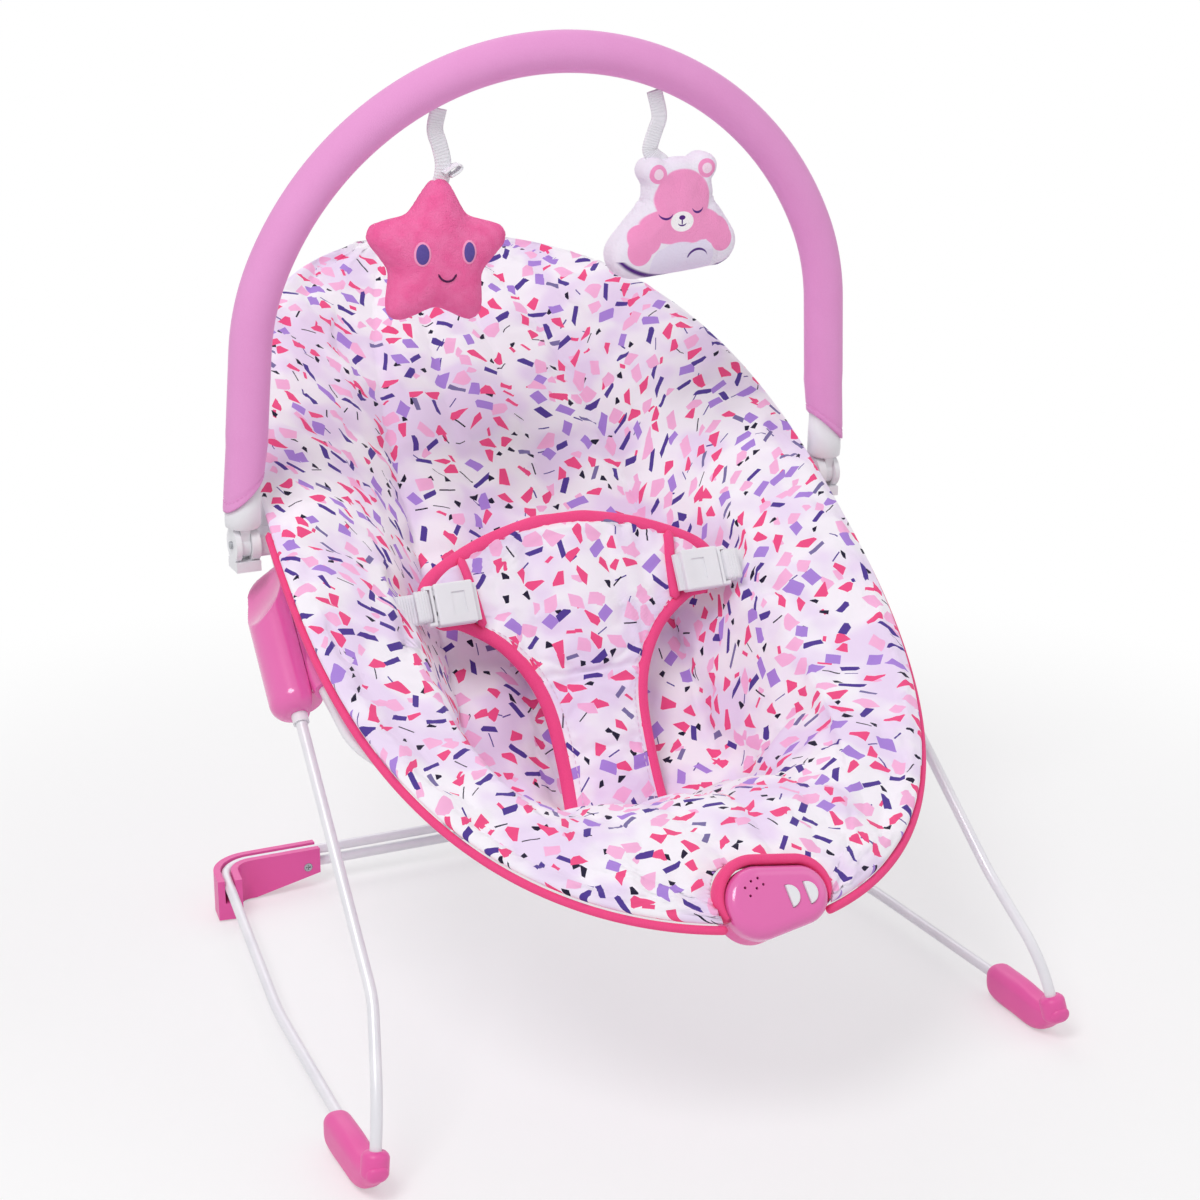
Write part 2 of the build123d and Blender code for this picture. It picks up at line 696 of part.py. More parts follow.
def arch_curves(start_h):
    lean = atan2(ARCH_X - ARCH_SPRING_X, ARCH_SPRING_H)
    across = ARCH_SPRING_X - ARCH_SIDE_BEND * cos(lean)
    down = ARCH_SPRING_H - ARCH_SIDE_BEND * sin(lean) - ARCH_HEIGHT
    top_bend = (across**2 + down**2 - ARCH_SIDE_BEND**2) / (-2 * down - 2 * ARCH_SIDE_BEND)
    side_centre = (across, ARCH_HEIGHT + down)
    top_centre = (0, ARCH_HEIGHT - top_bend)
    join = degrees(atan2(side_centre[1] - top_centre[1], side_centre[0]))
    low = degrees(lean)
    start_x = ARCH_X - (ARCH_X - ARCH_SPRING_X) * start_h / ARCH_SPRING_H
    leg = Line((start_x, start_h), (ARCH_SPRING_X, ARCH_SPRING_H))
    side = CenterArc(side_centre, ARCH_SIDE_BEND, low, join - low)
    top = CenterArc(top_centre, top_bend, join, 180 - 2 * join)
    far_side = CenterArc((-side_centre[0], side_centre[1]), ARCH_SIDE_BEND, 180 - join, join - low)
    far_leg = Line((-ARCH_SPRING_X, ARCH_SPRING_H), (-start_x, start_h))
    return [leg, side, top, far_side, far_leg], top_centre, top_bend


ARCH_FRAME = Plane(
    origin=(0, ARCH_PIVOT_Y, ARCH_PIVOT_Z),
    x_dir=(1, 0, 0),
    z_dir=(0, -cos(radians(ARCH_LEAN)), -sin(radians(ARCH_LEAN))),
)


def arch_rod(start_h, radius):
    curves = arch_curves(start_h)[0]
    return rod_along(ARCH_FRAME * Wire(curves), radius)


def arch_sleeve():
    sleeve = arch_rod(ARCH_SLEEVE_START, ARCH_SLEEVE_RADIUS)
    ends = sleeve.faces().filter_by(GeomType.PLANE)
    sleeve = fillet(ends.edges(), 5)
    return sleeve - arch_rod(ARCH_SLEEVE_START - 5, ARCH_CORE_RADIUS + SEAT_GAP)


def arch_core():
    return arch_rod(ARCH_CORE_START, ARCH_CORE_RADIUS)


def arch_foot():
    pivot = Vector(-ARCH_X, ARCH_PIVOT_Y, ARCH_PIVOT_Z)
    up = ARCH_FRAME.from_local_coords(Vector(-ARCH_X + 1.2, 18.5, 0)) - pivot
    cup = extrude(Plane(origin=pivot + up.normalized() * 11.6, z_dir=up) * Circle(CUP_RADIUS), 8.0)
    lug = rod_between(pivot - Vector(TONGUE / 2, 0, 0), pivot + Vector(TONGUE / 2, 0, 0), 8)
    neck = Plane(origin=pivot, x_dir=(1, 0, 0), z_dir=(0, up.Y, up.Z)) * Rectangle(TONGUE, 14)
    foot = lug + extrude(neck, 12.5) + cup
    foot -= rod_between(pivot - Vector(20, 0, 0), pivot + Vector(20, 0, 0), PIN_RADIUS + SEAT_GAP)
    return foot - arch_rod(ARCH_CORE_START - 0.3, ARCH_CORE_RADIUS + SEAT_GAP)


def arch_pin():
    start = Vector(-ARCH_X - 8.2, ARCH_PIVOT_Y, ARCH_PIVOT_Z)
    return rod_between(start, start + Vector(16, 0, 0), PIN_RADIUS)


def arch_clip():
    pivot = Vector(-ARCH_X, ARCH_PIVOT_Y, ARCH_PIVOT_Z)
    inner = TONGUE / 2 + FIT
    outer = inner + 3.5
    deep = inner + 5.5
    outer_cheek = rod_between(pivot - Vector(outer, 0, 0), pivot - Vector(inner, 0, 0), CHEEK_RADIUS)
    inner_cheek = rod_between(pivot + Vector(inner, 0, 0), pivot + Vector(deep, 0, 0), CHEEK_RADIUS)
    low_z = ARCH_PIVOT_Z - 16
    bridge = block(-ARCH_X - outer, -ARCH_X + deep, ARCH_PIVOT_Y - 9, ARCH_PIVOT_Y + 9, low_z, low_z + 6.5)
    arm = block(-ARCH_X + inner + 2, -180.5, ARCH_PIVOT_Y - 4, ARCH_PIVOT_Y + 24, low_z + 7, low_z + 21)
    arm = fillet(arm.edges().filter_by(Axis.X), 3)
    low = back_tube_point(60)
    tube = (BACK_NECK - low).normalized()
    middle = low + tube * 24
    jaw = rod_between(middle - tube * 9, middle + tube * 9, 7.2)
    clip = outer_cheek + inner_cheek + bridge + arm + jaw
    clip -= rod_between(low + tube * 3, BACK_NECK + tube * 30, ROD_RADIUS + SEAT_GAP)
    mouth = Plane(origin=middle - tube * 20, x_dir=(0, tube.Z, -tube.Y), z_dir=tube)
    clip -= extrude(mouth * Pos(10, 0, 0) * Rectangle(20, 5.6), 40)
    clip -= rod_between(pivot - Vector(8.5, 0, 0), pivot + Vector(8.5, 0, 0), PIN_RADIUS + 0.05)
    return clip


# Hanging toys

TOY_Y = ARCH_PIVOT_Y - TOY_FORWARD


def strap_top(x):
    top_centre, top_bend = arch_curves(ARCH_SLEEVE_START)[1:]
    angle = asin(x / top_bend)
    reach = top_bend - ARCH_SLEEVE_RADIUS - STRAP_THICK / 2 - FIT
    place = Vector(reach * sin(angle), top_centre[1] + reach * cos(angle), 0)
    return ARCH_FRAME.from_local_coords(place), angle


def toy_strap(x, end_x, end_z):
    top, angle = strap_top(x)
    tangent = Vector(cos(angle), 0, -sin(angle))
    half = tangent * STRAP_WIDTH / 2
    roll = rod_between(top - half, top + half, STRAP_THICK / 2)
    start = Plane(origin=top, x_dir=tangent, z_dir=(-tangent.Z, 0, tangent.X))
    finish = Plane(origin=(end_x, TOY_Y, end_z), x_dir=(1, 0, 0), z_dir=(0, 0, 1))
    web = Rectangle(STRAP_WIDTH, STRAP_THICK)
    return roll + loft([start * web, finish * web])


def star_outline(scale):
    points = []
    for i in range(10):
        reach = (STAR_REACH if i % 2 == 0 else STAR_WAIST) * scale
        angle = radians(90 + 36 * i - STAR_TURN)
        points.append((reach * cos(angle), reach * sin(angle)))
    shape = make_face(Polyline(*points, close=True))
    return fillet(shape.vertices(), STAR_TIP * scale * 0.85)


TOY_PLANE = Plane(origin=(0, TOY_Y, 0), x_dir=(1, 0, 0), z_dir=(0, -1, 0))


def star_toy():
    half = STAR_THICK / 2
    front = [(0.4, 0.94), (0.8, 0.72), (1.0, 0.38)]
    back = [(-depth, size) for depth, size in reversed(front)]
    levels = [*back, (0.0, 1.0), *front]
    place = Pos(STAR_CENTRE[0], STAR_CENTRE[1], 0)
    sections = [TOY_PLANE.offset(half * depth) * place * star_outline(size) for depth, size in levels]
    return loft(sections)


def bear_outline():
    head = Pos(84, 505) * Circle(22)
    ears = Pos(66, 521) * Circle(8) + Pos(101, 523) * Circle(8)
    paws = [CenterArc((52, 470), 15, 0, 360), CenterArc((108, 475), 15, 0, 360)]
    chest = CenterArc((84, 498), 20, 0, 360)
    return head + ears + make_hull([*paws, chest])


def bear_toy():
    face = bear_outline()
    face = fillet(face.vertices(), 4)
    solid = extrude(TOY_PLANE.offset(-BEAR_THICK / 2) * face, BEAR_THICK)
    rims = solid.faces().filter_by(lambda f: abs(f.normal_at().dot(TOY_PLANE.z_dir)) > 0.99)
    return fillet(rims.edges(), 7.5)


def save(name, shape):
    pieces = shape if isinstance(shape, list) else [shape]
    solids = [solid for piece in pieces for solid in piece.solids()]
    moved = [Pos(0, -FEET_TO_MIDDLE, 0) * solid for solid in solids]
    export_step(moved[0] if len(moved) == 1 else Compound(children=moved), f"parts/{name}.step")


def save_pair(name, shape):
    save(f"{name}_left", shape)
    save(f"{name}_right", flip(shape))


def main():
    save("floor_rod_left", floor_rod(REAR_HIGH_Z) - flip(screw_rod(-10, 30, REAR_HIGH_Z, 1.75)))
    save("floor_rod_right", flip(floor_rod(REAR_LOW_Z)) - screw_rod(-10, 30, REAR_LOW_Z, 1.75))
    save_pair("leg_rod", leg_rod())
    save_pair("front_foot", front_foot())
    save("rear_bracket_left", rear_bracket(REAR_LOW_Z))
    save("rear_bracket_right", flip(rear_bracket(REAR_HIGH_Z)))
    save_pair("rear_pad", rear_pad_block(0))
    save("bracket_screws", [bracket_screw(REAR_LOW_Z), flip(bracket_screw(REAR_HIGH_Z))])
    save_pair("hub_cover", hub_cover())
    save_pair("hub_core", hub_core())
    screws = hub_screws()
    save("hub_screws", [*screws, *[flip(screw) for screw in screws]])
    save("leg_ferrules", [leg_ferrule(), flip(leg_ferrule())])
    save("seat_tube_front", seat_tube(front_tube_path()))
    save("seat_tube_back", seat_tube(back_tube_path()))
    save("seat_hem_front", front_hem())
    save("seat_hem_back", back_hem())
    save("seat_piping", piping())
    pad = seat_pad()
    save("seat_pad", pad)
    save("unit_pocket", unit_pocket())
    save("unit_front_shell", unit_front_shell())
    save("unit_back_shell", unit_back_shell())
    save("battery_door", battery_door())
    save("cells", cells())
    save("cell_contacts", cell_contacts())
    save("circuit_board", circuit_board())
    save("loudspeaker", loudspeaker())
    save("vibration_motor", vibration_motor())
    save("motor_weight", motor_weight())
    for side, x in zip(("left", "right"), button_places()):
        save(f"button_{side}", button(x))
    panel = crotch_panel(pad)
    save("crotch_panel", panel)
    save("crotch_binding", crotch_binding(panel, pad))
    save_pair("buckle_socket", buckle_socket())
    save_pair("buckle_tongue", buckle_tongue())
    save_pair("lap_strap", lap_strap(pad))
    save("arch_core", arch_core())
    save("arch_sleeve", arch_sleeve())
    save_pair("arch_foot", arch_foot())
    save_pair("arch_clip", arch_clip())
    save("arch_pins", [arch_pin(), flip(arch_pin())])
    star = star_toy()
    save("star_toy", star)
    save("star_strap", toy_strap(STAR_X, -78, 505) - star)
    bear = bear_toy()
    save("bear_toy", bear)
    save("bear_strap", toy_strap(BEAR_X, 69, 515) - bear)


main()
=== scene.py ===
from contextlib import contextmanager
from math import asin, atan2, cos, pi, radians, sin

import bmesh
import bpy
import numpy as np
from mathutils import Matrix, Vector
from mathutils.bvhtree import BVHTree


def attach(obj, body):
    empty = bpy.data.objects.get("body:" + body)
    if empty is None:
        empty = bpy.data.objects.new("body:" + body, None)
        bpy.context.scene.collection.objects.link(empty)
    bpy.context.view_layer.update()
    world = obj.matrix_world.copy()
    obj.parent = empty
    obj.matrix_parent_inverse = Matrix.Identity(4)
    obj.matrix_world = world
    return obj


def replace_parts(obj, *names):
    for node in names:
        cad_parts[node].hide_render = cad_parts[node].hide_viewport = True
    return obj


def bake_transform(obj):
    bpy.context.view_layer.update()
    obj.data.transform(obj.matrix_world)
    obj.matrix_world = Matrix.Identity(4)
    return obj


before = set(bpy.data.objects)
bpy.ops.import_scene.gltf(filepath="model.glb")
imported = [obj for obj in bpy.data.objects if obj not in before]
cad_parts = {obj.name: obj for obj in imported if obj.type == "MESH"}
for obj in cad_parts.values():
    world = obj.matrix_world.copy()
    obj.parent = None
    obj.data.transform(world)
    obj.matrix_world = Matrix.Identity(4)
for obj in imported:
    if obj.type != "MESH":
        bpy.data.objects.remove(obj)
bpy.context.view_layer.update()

# Millimetres from the front feet, as the solids are drawn; placed() turns them into the frame's metres.
FEET_TO_MIDDLE = 207.4
RIM_HALF_WIDTH = 193.0
RIM_MID_Y = 200.0
RIM_FRONT = 270.0
RIM_BACK = 295.0
# The rim's plan is a superellipse: the powers along and across, ahead of its middle and behind it
RIM_FRONT_POWERS = (2.2, 1.8)
RIM_BACK_POWERS = (2.4, 2.0)
PIPING_RADIUS = 2.6
HEM_RADIUS = 6.5
TUBE_IN = 9.2
TUBE_FRONT_IN = 30.0
TUBE_BELOW = 4.0
LIP_TOP = 8.0
LIP_THICK = 4.8
LIP_WIDTH = 13.0
PAD_THICK = 10.0
WING_SHARE = 0.66
PANEL_SHARE = 0.44
CHANNEL_SHARE = 0.15
PAD_STATIONS = np.array([
    (-66.5, 9.0, 9.0, 0.6),
    (-40.0, 14.0, 12.0, 1.0),
    (30.0, 0.0, 6.0, 1.5),
    (75.0, -39.0, -2.0, 2.0),
    (110.0, -81.0, -8.0, 2.5),
    (150.0, -118.0, -12.0, 3.0),
    (190.0, -124.0, -13.0, 3.0),
    (230.0, -101.0, -12.0, 3.5),
    (280.0, -71.0, -10.0, 4.0),
    (340.0, -46.0, -8.0, 4.0),
    (410.0, -21.0, -4.0, 4.0),
    (460.0, -2.0, 3.0, 3.0),
    (490.0, 9.0, 9.0, 1.0),
])
ARCH_PIVOT = np.array((0.0, 258.0, 306.0))
ARCH_X = 206.0
ARCH_LEAN = 3.4
ARCH_SPRING_X = 198.0
ARCH_SPRING_H = 122.0
ARCH_HEIGHT = 293.0
ARCH_SIDE_BEND = 150.0
ARCH_SLEEVE_RADIUS = 13.0
ARCH_SLEEVE_START = 18.0
ARCH_SLEEVE_CUT = 24.0
TOY_Y = 243.0
UNIT_CENTRE = np.array((0.0, -62.0, 160.0))
UNIT_TILT = 35.0
UNIT_BIG = (-11.0, 21.0)
UNIT_SMALL = (15.0, 17.0)
POCKET_RISE = 2.4
POCKET_THICK = 5.0
POCKET_END = -7.0
PANEL_FOOT = np.array((0.0, 146.0, 128.0))
PANEL_LEAN = 28.7
PANEL_THICK = 9.0
PANEL_SIDE = np.array([
    (33, -30), (30, 38), (34, 84), (52, 118), (78, 138),
    (92, 141), (101, 152), (94, 169), (60, 186), (22, 196),
], float)
PANEL_TOP = 197.0
BUCKLE_V = 150.0
BUCKLE_RISE = 8.7
WEBBING_WIDTH = 20.0
WEBBING_THICK = 1.8
SIDES = (("left", -1), ("right", 1))


def placed(points):
    """Points in millimetres from the feet, in the frame's metres."""
    return (np.asarray(points, float) - (0, FEET_TO_MIDDLE, 0)) * 0.001


def srgb(red, green, blue):
    """A colour as it is seen on a screen, from 0 to 255, as linear shares."""
    shares = np.array((red, green, blue)) / 255
    return (*np.where(shares <= 0.04045, shares / 12.92, ((shares + 0.055) / 1.055) ** 2.4), 1.0)


# Finishes

def written(operation, reflected=False):
    """A method that adds a maths node: value first, or last where Python reflects the operator."""
    def method(self, other=None):
        first, second = (other, self) if reflected else (self, other)
        inputs = {0: first} if second is None else {0: first, 1: second}
        return self.nodes.node("ShaderNodeMath", {"operation": operation}, inputs)[0]

    return method


class Value:
    """A shader socket that can be written into sums."""

    def __init__(self, nodes, socket):
        self.nodes = nodes
        self.socket = socket

    __add__, __radd__ = written("ADD"), written("ADD", True)
    __sub__, __rsub__ = written("SUBTRACT"), written("SUBTRACT", True)
    __mul__ = written("MULTIPLY")
    __truediv__ = written("DIVIDE")
    __pow__ = written("POWER")
    __gt__, __lt__ = written("GREATER_THAN"), written("LESS_THAN")
    __abs__ = written("ABSOLUTE")
    sine = written("SINE")
    most = written("MAXIMUM")

    def step(self, low, high):
        inputs = {"Value": self, "From Min": low, "From Max": high}
        return self.nodes.node("ShaderNodeMapRange", {"interpolation_type": "SMOOTHSTEP"}, inputs)[0]


class Sockets:
    """The outputs of a node, by name or place."""

    def __init__(self, nodes, node):
        self.nodes = nodes
        self.outputs = node.outputs

    def __getitem__(self, key):
        return Value(self.nodes, self.outputs[key])


class Nodes:
    """A node tree that is written as expressions."""

    def __init__(self, tree):
        self.tree = tree

    def feed(self, socket, value):
        if isinstance(value, Value):
            self.tree.links.new(value.socket, socket)
        else:
            socket.default_value = value

    def node(self, kind, settings=None, inputs=None):
        """Adds a node. The settings ramp and stops are its colour ramp's, and the others its own."""
        made = self.tree.nodes.new(kind)
        for key, value in (settings or {}).items():
            if key == "stops":
                self.set_stops(made.color_ramp, value)
            elif key == "ramp":
                made.color_ramp.interpolation = value
            else:
                setattr(made, key, value)
        for key, value in (inputs or {}).items():
            self.feed(made.inputs[key], value)
        return Sockets(self, made)

    @staticmethod
    def set_stops(ramp, stops):
        while len(ramp.elements) < len(stops):
            ramp.elements.new(0.5)
        for element, (position, colour) in zip(ramp.elements, stops):
            element.position = position
            element.color = colour

    def seen(self):
        """1 for rays from the camera, straight, reflected or through something clear, and 0 for light."""
        ray = self.node("ShaderNodeLightPath")
        return ray["Is Camera Ray"].most(ray["Is Glossy Ray"]).most(ray["Is Transmission Ray"])


class Finish(Nodes):
    """A material with its shader, and the places on a piece that its patterns use."""

    def __init__(self, name, **constants):
        self.material = bpy.data.materials.new(name)
        self.material.use_nodes = True
        super().__init__(self.material.node_tree)
        self.shader = self.tree.nodes["Principled BSDF"]
        for key, value in constants.items():
            self.set(key.replace("_", " ").title().replace("Ior", "IOR"), value)
        places = self.node("ShaderNodeTexCoord")
        self.where = places["Object"]
        self.print_at = places["UV"]

    def mix(self, factor, first, second):
        inputs = {0: factor, 6: first, 7: second}
        return self.node("ShaderNodeMix", {"data_type": "RGBA"}, inputs)[2]

    def axes(self, vector=None):
        return self.node("ShaderNodeSeparateXYZ", inputs={0: vector or self.where})

    def noise(self, size, detail):
        """Noise with features of about size millimetres."""
        inputs = {"Vector": self.where, "Scale": 1000.0 / size, "Detail": detail}
        return self.node("ShaderNodeTexNoise", inputs=inputs)[0]

    def bump(self, height, depth):
        """Relief up to depth millimetres."""
        inputs = {"Height": height, "Distance": depth * 0.001, "Strength": 1.0}
        normal = self.node("ShaderNodeBump", inputs=inputs)[0]
        self.set("Normal", normal)

    def set(self, name, value):
        self.feed(self.shader.inputs[name], value)


def moulded(name, colour, roughness, grain=0.05, coat=0.0):
    """Moulded plastic with a faint grain, and slight flow marks in its colour."""
    plastic = Finish(name, specular_ior_level=0.5)
    flow = plastic.noise(60, 3)
    dark = tuple(0.86 * part for part in colour[:3]) + (1.0,)
    plastic.set("Base Color", plastic.mix(flow.step(0.35, 0.75) * 0.5, colour, dark))
    plastic.set("Roughness", roughness + plastic.noise(4, 4) * 0.12)
    if coat:
        plastic.set("Coat Weight", coat)
        plastic.set("Coat Roughness", 0.08)
    plastic.bump(plastic.noise(0.7, 2), grain)
    return plastic.material


def painted_wire(name):
    """Powder-coated wire: satin white with fine orange peel."""
    paint = Finish(name, specular_ior_level=0.6)
    paint.set("Base Color", paint.mix(paint.noise(30, 3), srgb(246, 245, 248), srgb(222, 222, 229)))
    paint.set("Roughness", 0.26 + paint.noise(8, 3) * 0.16)
    paint.set("Metallic", 0.12)
    paint.bump(paint.noise(1.6, 2), 0.06)
    return paint.material


def zinc(name):
    metal = Finish(name)
    metal.set("Base Color", metal.mix(metal.noise(3, 4), srgb(196, 198, 202), srgb(150, 152, 158)))
    metal.set("Metallic", 1.0)
    metal.set("Roughness", 0.3 + metal.noise(2, 3) * 0.2)
    metal.bump(metal.noise(0.8, 2), 0.04)
    return metal.material


INDIGO = srgb(84, 62, 150)
LAVENDER = srgb(176, 138, 224)
ROSE = srgb(246, 84, 140)
BLUSH = srgb(253, 186, 226)
INK = srgb(34, 28, 54)
SLATE = srgb(126, 116, 166)

# For each sort of chip: where its share of the cells starts, half length, half width, corner cut off, colour
CHIPS = [
    (0.00, 5.6, 4.4, 3.4, BLUSH), (0.19, 5.2, 3.4, 1.4, ROSE), (0.40, 5.4, 3.5, 6.0, LAVENDER),
    (0.53, 6.2, 1.9, 3.0, INDIGO), (0.72, 5.0, 2.9, 0.8, ROSE), (0.78, 5.8, 1.5, 6.0, SLATE),
    (0.83, 2.3, 2.0, 0.5, INK), (0.92, 4.6, 0.45, 9.0, INK),
]
# The last sort of speck is none at all
SPECKS = [
    (0.00, 2.1, 1.9, 0.4, INK), (0.20, 4.2, 0.45, 9.0, INDIGO), (0.32, 3.2, 1.1, 2.0, ROSE),
    (0.45, 3.6, 2.6, 1.0, BLUSH), (0.60, 0.0, 0.0, -9.0, BLUSH),
]


def chip_layer(cloth, size, sorts, start):
    """One straight-edged chip in each cell of a scattered grid: where it is, and its colour."""
    def vectors(operation, first, second):
        return cloth.node("ShaderNodeVectorMath", {"operation": operation}, {0: first, 1: second})[0]

    def pick(place, stops):
        return cloth.node("ShaderNodeValToRGB", {"ramp": "CONSTANT", "stops": stops}, {0: place})[0]

    shift = vectors("ADD", cloth.print_at, (start, 0.7 * start, 0.0))
    grid = {"Vector": shift, "Scale": 1000.0 / size, "Randomness": 0.82}
    cell = cloth.node("ShaderNodeTexVoronoi", {"voronoi_dimensions": "2D"}, grid)
    local = cloth.axes(vectors("SUBTRACT", shift, cell["Position"]))
    picks = cloth.axes(cell["Color"])
    chance = cloth.node("ShaderNodeTexWhiteNoise", {"noise_dimensions": "3D"}, {"Vector": cell["Color"]})
    more = cloth.axes(chance["Color"])
    turn = picks[0] * (2 * pi)
    x, y = local[0] * 1000.0, local[1] * 1000.0
    along = x * (turn + pi / 2).sine() + y * turn.sine()
    across = y * (turn + pi / 2).sine() - x * turn.sine()
    # A ramp holds 0 to 1, so the sizes are written as shares of 10 mm, and the corner from -10 to 10 mm
    stops = []
    for begin, length, width, cut, tint in sorts:
        stops.append((begin, (length / 10, width / 10, (cut + 10) / 20, 1.0)))
    shape = cloth.axes(pick(picks[1], stops))
    tint = pick(picks[1], [(row[0], row[4]) for row in sorts])
    length = shape[0] * 10.0 * (0.72 + more[0] * 0.5)
    width = shape[1] * 10.0 * (0.75 + more[1] * 0.5)
    cut = shape[2] * 20.0 - 10.0
    slant = (more[2] - 0.5) * 0.9
    chip = (abs(along + across * slant) < length) * (abs(across + along * (picks[2] - 0.5) * 0.5) < width)
    chip = chip * (along * 0.55 + across * 0.83 < cut + 0.5)
    return chip, tint


def terrazzo(name):
    """White cotton with a print of small straight-edged chips, its ground blotched with lilac: partly the
    print's own pale lilac, partly painted shade.
    """
    cloth = Finish(name, roughness=0.85, specular_ior_level=0.25, sheen_weight=0.15, sheen_roughness=0.4)
    # Random lilac blotches over the ground: partly the print's own tint, and partly painted shade, darkened
    # to stand in for the lilac shade of the seat's pockets
    lilac_tint_and_shade = cloth.noise(42, 2).step(0.42, 0.62)
    colour = cloth.mix(lilac_tint_and_shade * 0.8, srgb(252, 248, 255), srgb(238, 218, 249))
    for size, sorts, start in ((16.0, SPECKS, 0.31), (14.2, CHIPS, 0.0)):
        chip, tint = chip_layer(cloth, size, sorts, start)
        colour = cloth.mix(chip, colour, tint)
    cloth.set("Base Color", colour)
    folds = cloth.noise(26, 3) * 0.5
    cloth.bump(folds + cloth.noise(0.9, 2) * 0.08, 1.2)
    return cloth.material


def woven(name, colour, shade, rib=0.0, sheen=0.2):
    """Plain woven tape or cloth, ribbed across its length where rib gives a spacing."""
    cloth = Finish(name, specular_ior_level=0.2, sheen_weight=sheen, sheen_roughness=0.35)
    thread = cloth.noise(0.8, 3)
    cloth.set("Base Color", cloth.mix(thread * 0.6 + cloth.noise(24, 2) * 0.4, colour, shade))
    cloth.set("Roughness", 0.7 + thread * 0.2)
    height = thread * 0.35
    if rib:
        spot = cloth.axes(cloth.print_at)
        height = height + (spot[1] * (2000 * pi / rib)).sine() * 0.3
    cloth.bump(height, 0.35)
    return cloth.material


def plush(name, colour, shade):
    """Short pile, its lie showing as lighter and darker patches."""
    pile = Finish(name, roughness=0.95, specular_ior_level=0.1, sheen_weight=0.5, sheen_roughness=0.5)
    pile.set("Sheen Tint", colour)
    lie = pile.noise(9, 4)
    fibre = pile.noise(0.9, 4)
    pile.set("Base Color", pile.mix(lie.step(0.3, 0.7) * 0.55 + fibre * 0.35, colour, shade))
    pile.bump(fibre + lie * 0.6, 0.9)
    return pile.material


WHITE_WIRE = painted_wire("white_wire")
PINK_GLOSS = moulded("pink_gloss", srgb(233, 102, 178), 0.16, grain=0.01, coat=0.6)
PINK_MOULDED = moulded("pink_moulded", srgb(236, 90, 168), 0.32)
WHITE_MOULDED = moulded("white_moulded", srgb(238, 238, 242), 0.38)
BLACK_MOULDED = moulded("black_moulded", srgb(34, 33, 36), 0.5)
GREY_RUBBER = moulded("grey_rubber", srgb(66, 64, 68), 0.75, grain=0.2)
NYLON_ROD = moulded("nylon_rod", srgb(216, 216, 220), 0.45)
BOARD_GREEN = moulded("board_green", srgb(36, 96, 60), 0.5)
CELL_JACKET = moulded("cell_jacket", srgb(70, 70, 80), 0.3)
ZINC_STEEL = zinc("zinc_steel")
PRINT_CLOTH = terrazzo("print_cloth")
CORAL_TRIM = woven("coral_trim", srgb(252, 92, 150), srgb(238, 66, 128))
LILAC_SLEEVE = woven("lilac_sleeve", srgb(238, 166, 220), srgb(230, 150, 208), sheen=0.3)
WEBBING = woven("white_webbing", srgb(248, 248, 251), srgb(226, 226, 233), rib=1.8)
THREAD = woven("pale_thread", srgb(246, 226, 240), srgb(228, 200, 224))
PINK_PLUSH = plush("pink_plush", srgb(255, 132, 186), srgb(248, 98, 162))

NODE_FINISHES = {
    "floor_rod": WHITE_WIRE, "leg_rod": WHITE_WIRE, "seat_tube": WHITE_WIRE, "leg_ferrules": WHITE_MOULDED,
    "hub_cover": PINK_GLOSS, "hub_core": PINK_GLOSS, "front_foot": PINK_MOULDED, "rear_bracket": PINK_MOULDED,
    "unit_front": PINK_GLOSS, "unit_back": PINK_MOULDED, "battery_door": PINK_MOULDED,
    "rear_pad": GREY_RUBBER, "arch_clip": WHITE_MOULDED, "arch_foot": WHITE_MOULDED,
    "buckle": WHITE_MOULDED, "button": WHITE_MOULDED, "arch_core": NYLON_ROD,
    "circuit_board": BOARD_GREEN, "loudspeaker": BLACK_MOULDED, "cells": CELL_JACKET,
}
for name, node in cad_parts.items():
    found = [finish for start, finish in NODE_FINISHES.items() if name.startswith(start)]
    node.data.materials.clear()
    node.data.materials.append(found[0] if found else ZINC_STEEL)


# Meshes

def added(name, data):
    made = bpy.data.objects.new(name, data)
    bpy.context.scene.collection.objects.link(made)
    return made


def set_smooth(mesh, smooth=True):
    mesh.polygons.foreach_set("use_smooth", [smooth] * len(mesh.polygons))


@contextmanager
def edited(mesh):
    """A bmesh of the mesh, written back afterwards."""
    shape = bmesh.new()
    shape.from_mesh(mesh)
    yield shape
    shape.to_mesh(mesh)
    shape.free()


def apply_modifiers(made):
    graph = bpy.context.evaluated_depsgraph_get()
    mesh = bpy.data.meshes.new_from_object(made.evaluated_get(graph))
    made.modifiers.clear()
    made.data = mesh


def cut_away(made, cutter):
    """Takes the cutter's shape out of a closed piece, and removes the cutter."""
    cut = made.modifiers.new("cut", "BOOLEAN")
    cut.operation = "DIFFERENCE"
    cut.object = cutter
    cut.solver = "MANIFOLD"
    apply_modifiers(made)
    bpy.data.objects.remove(cutter)


def softened(made, voxel, rounds):
    """Remeshes a closed piece at voxel millimetres and eases its edges."""
    even = made.modifiers.new("even", "REMESH")
    even.mode = "VOXEL"
    even.voxel_size = voxel * 0.001
    soft = made.modifiers.new("soft", "SMOOTH")
    soft.factor = 0.5
    soft.iterations = rounds
    apply_modifiers(made)
    set_smooth(made.data)


def piece(name, points, faces, finish, smooth=True, print_at=None):
    """A mesh object from points in the frame's metres.

    print_at gives the print's place at each corner of each face.
    """
    mesh = bpy.data.meshes.new(name)
    mesh.from_pydata([tuple(point) for point in points], [], [tuple(face) for face in faces])
    if print_at is not None:
        mesh.uv_layers.new(name="print_at").data.foreach_set("uv", np.ravel(print_at))
    mesh.validate()
    mesh.materials.append(finish)
    made = added(name, mesh)
    with edited(mesh) as shape:
        bmesh.ops.recalc_face_normals(shape, faces=shape.faces)
    set_smooth(mesh, smooth)
    return made


# How far the print runs on over a skin's closed ends
CAP_PRINT = 5.0


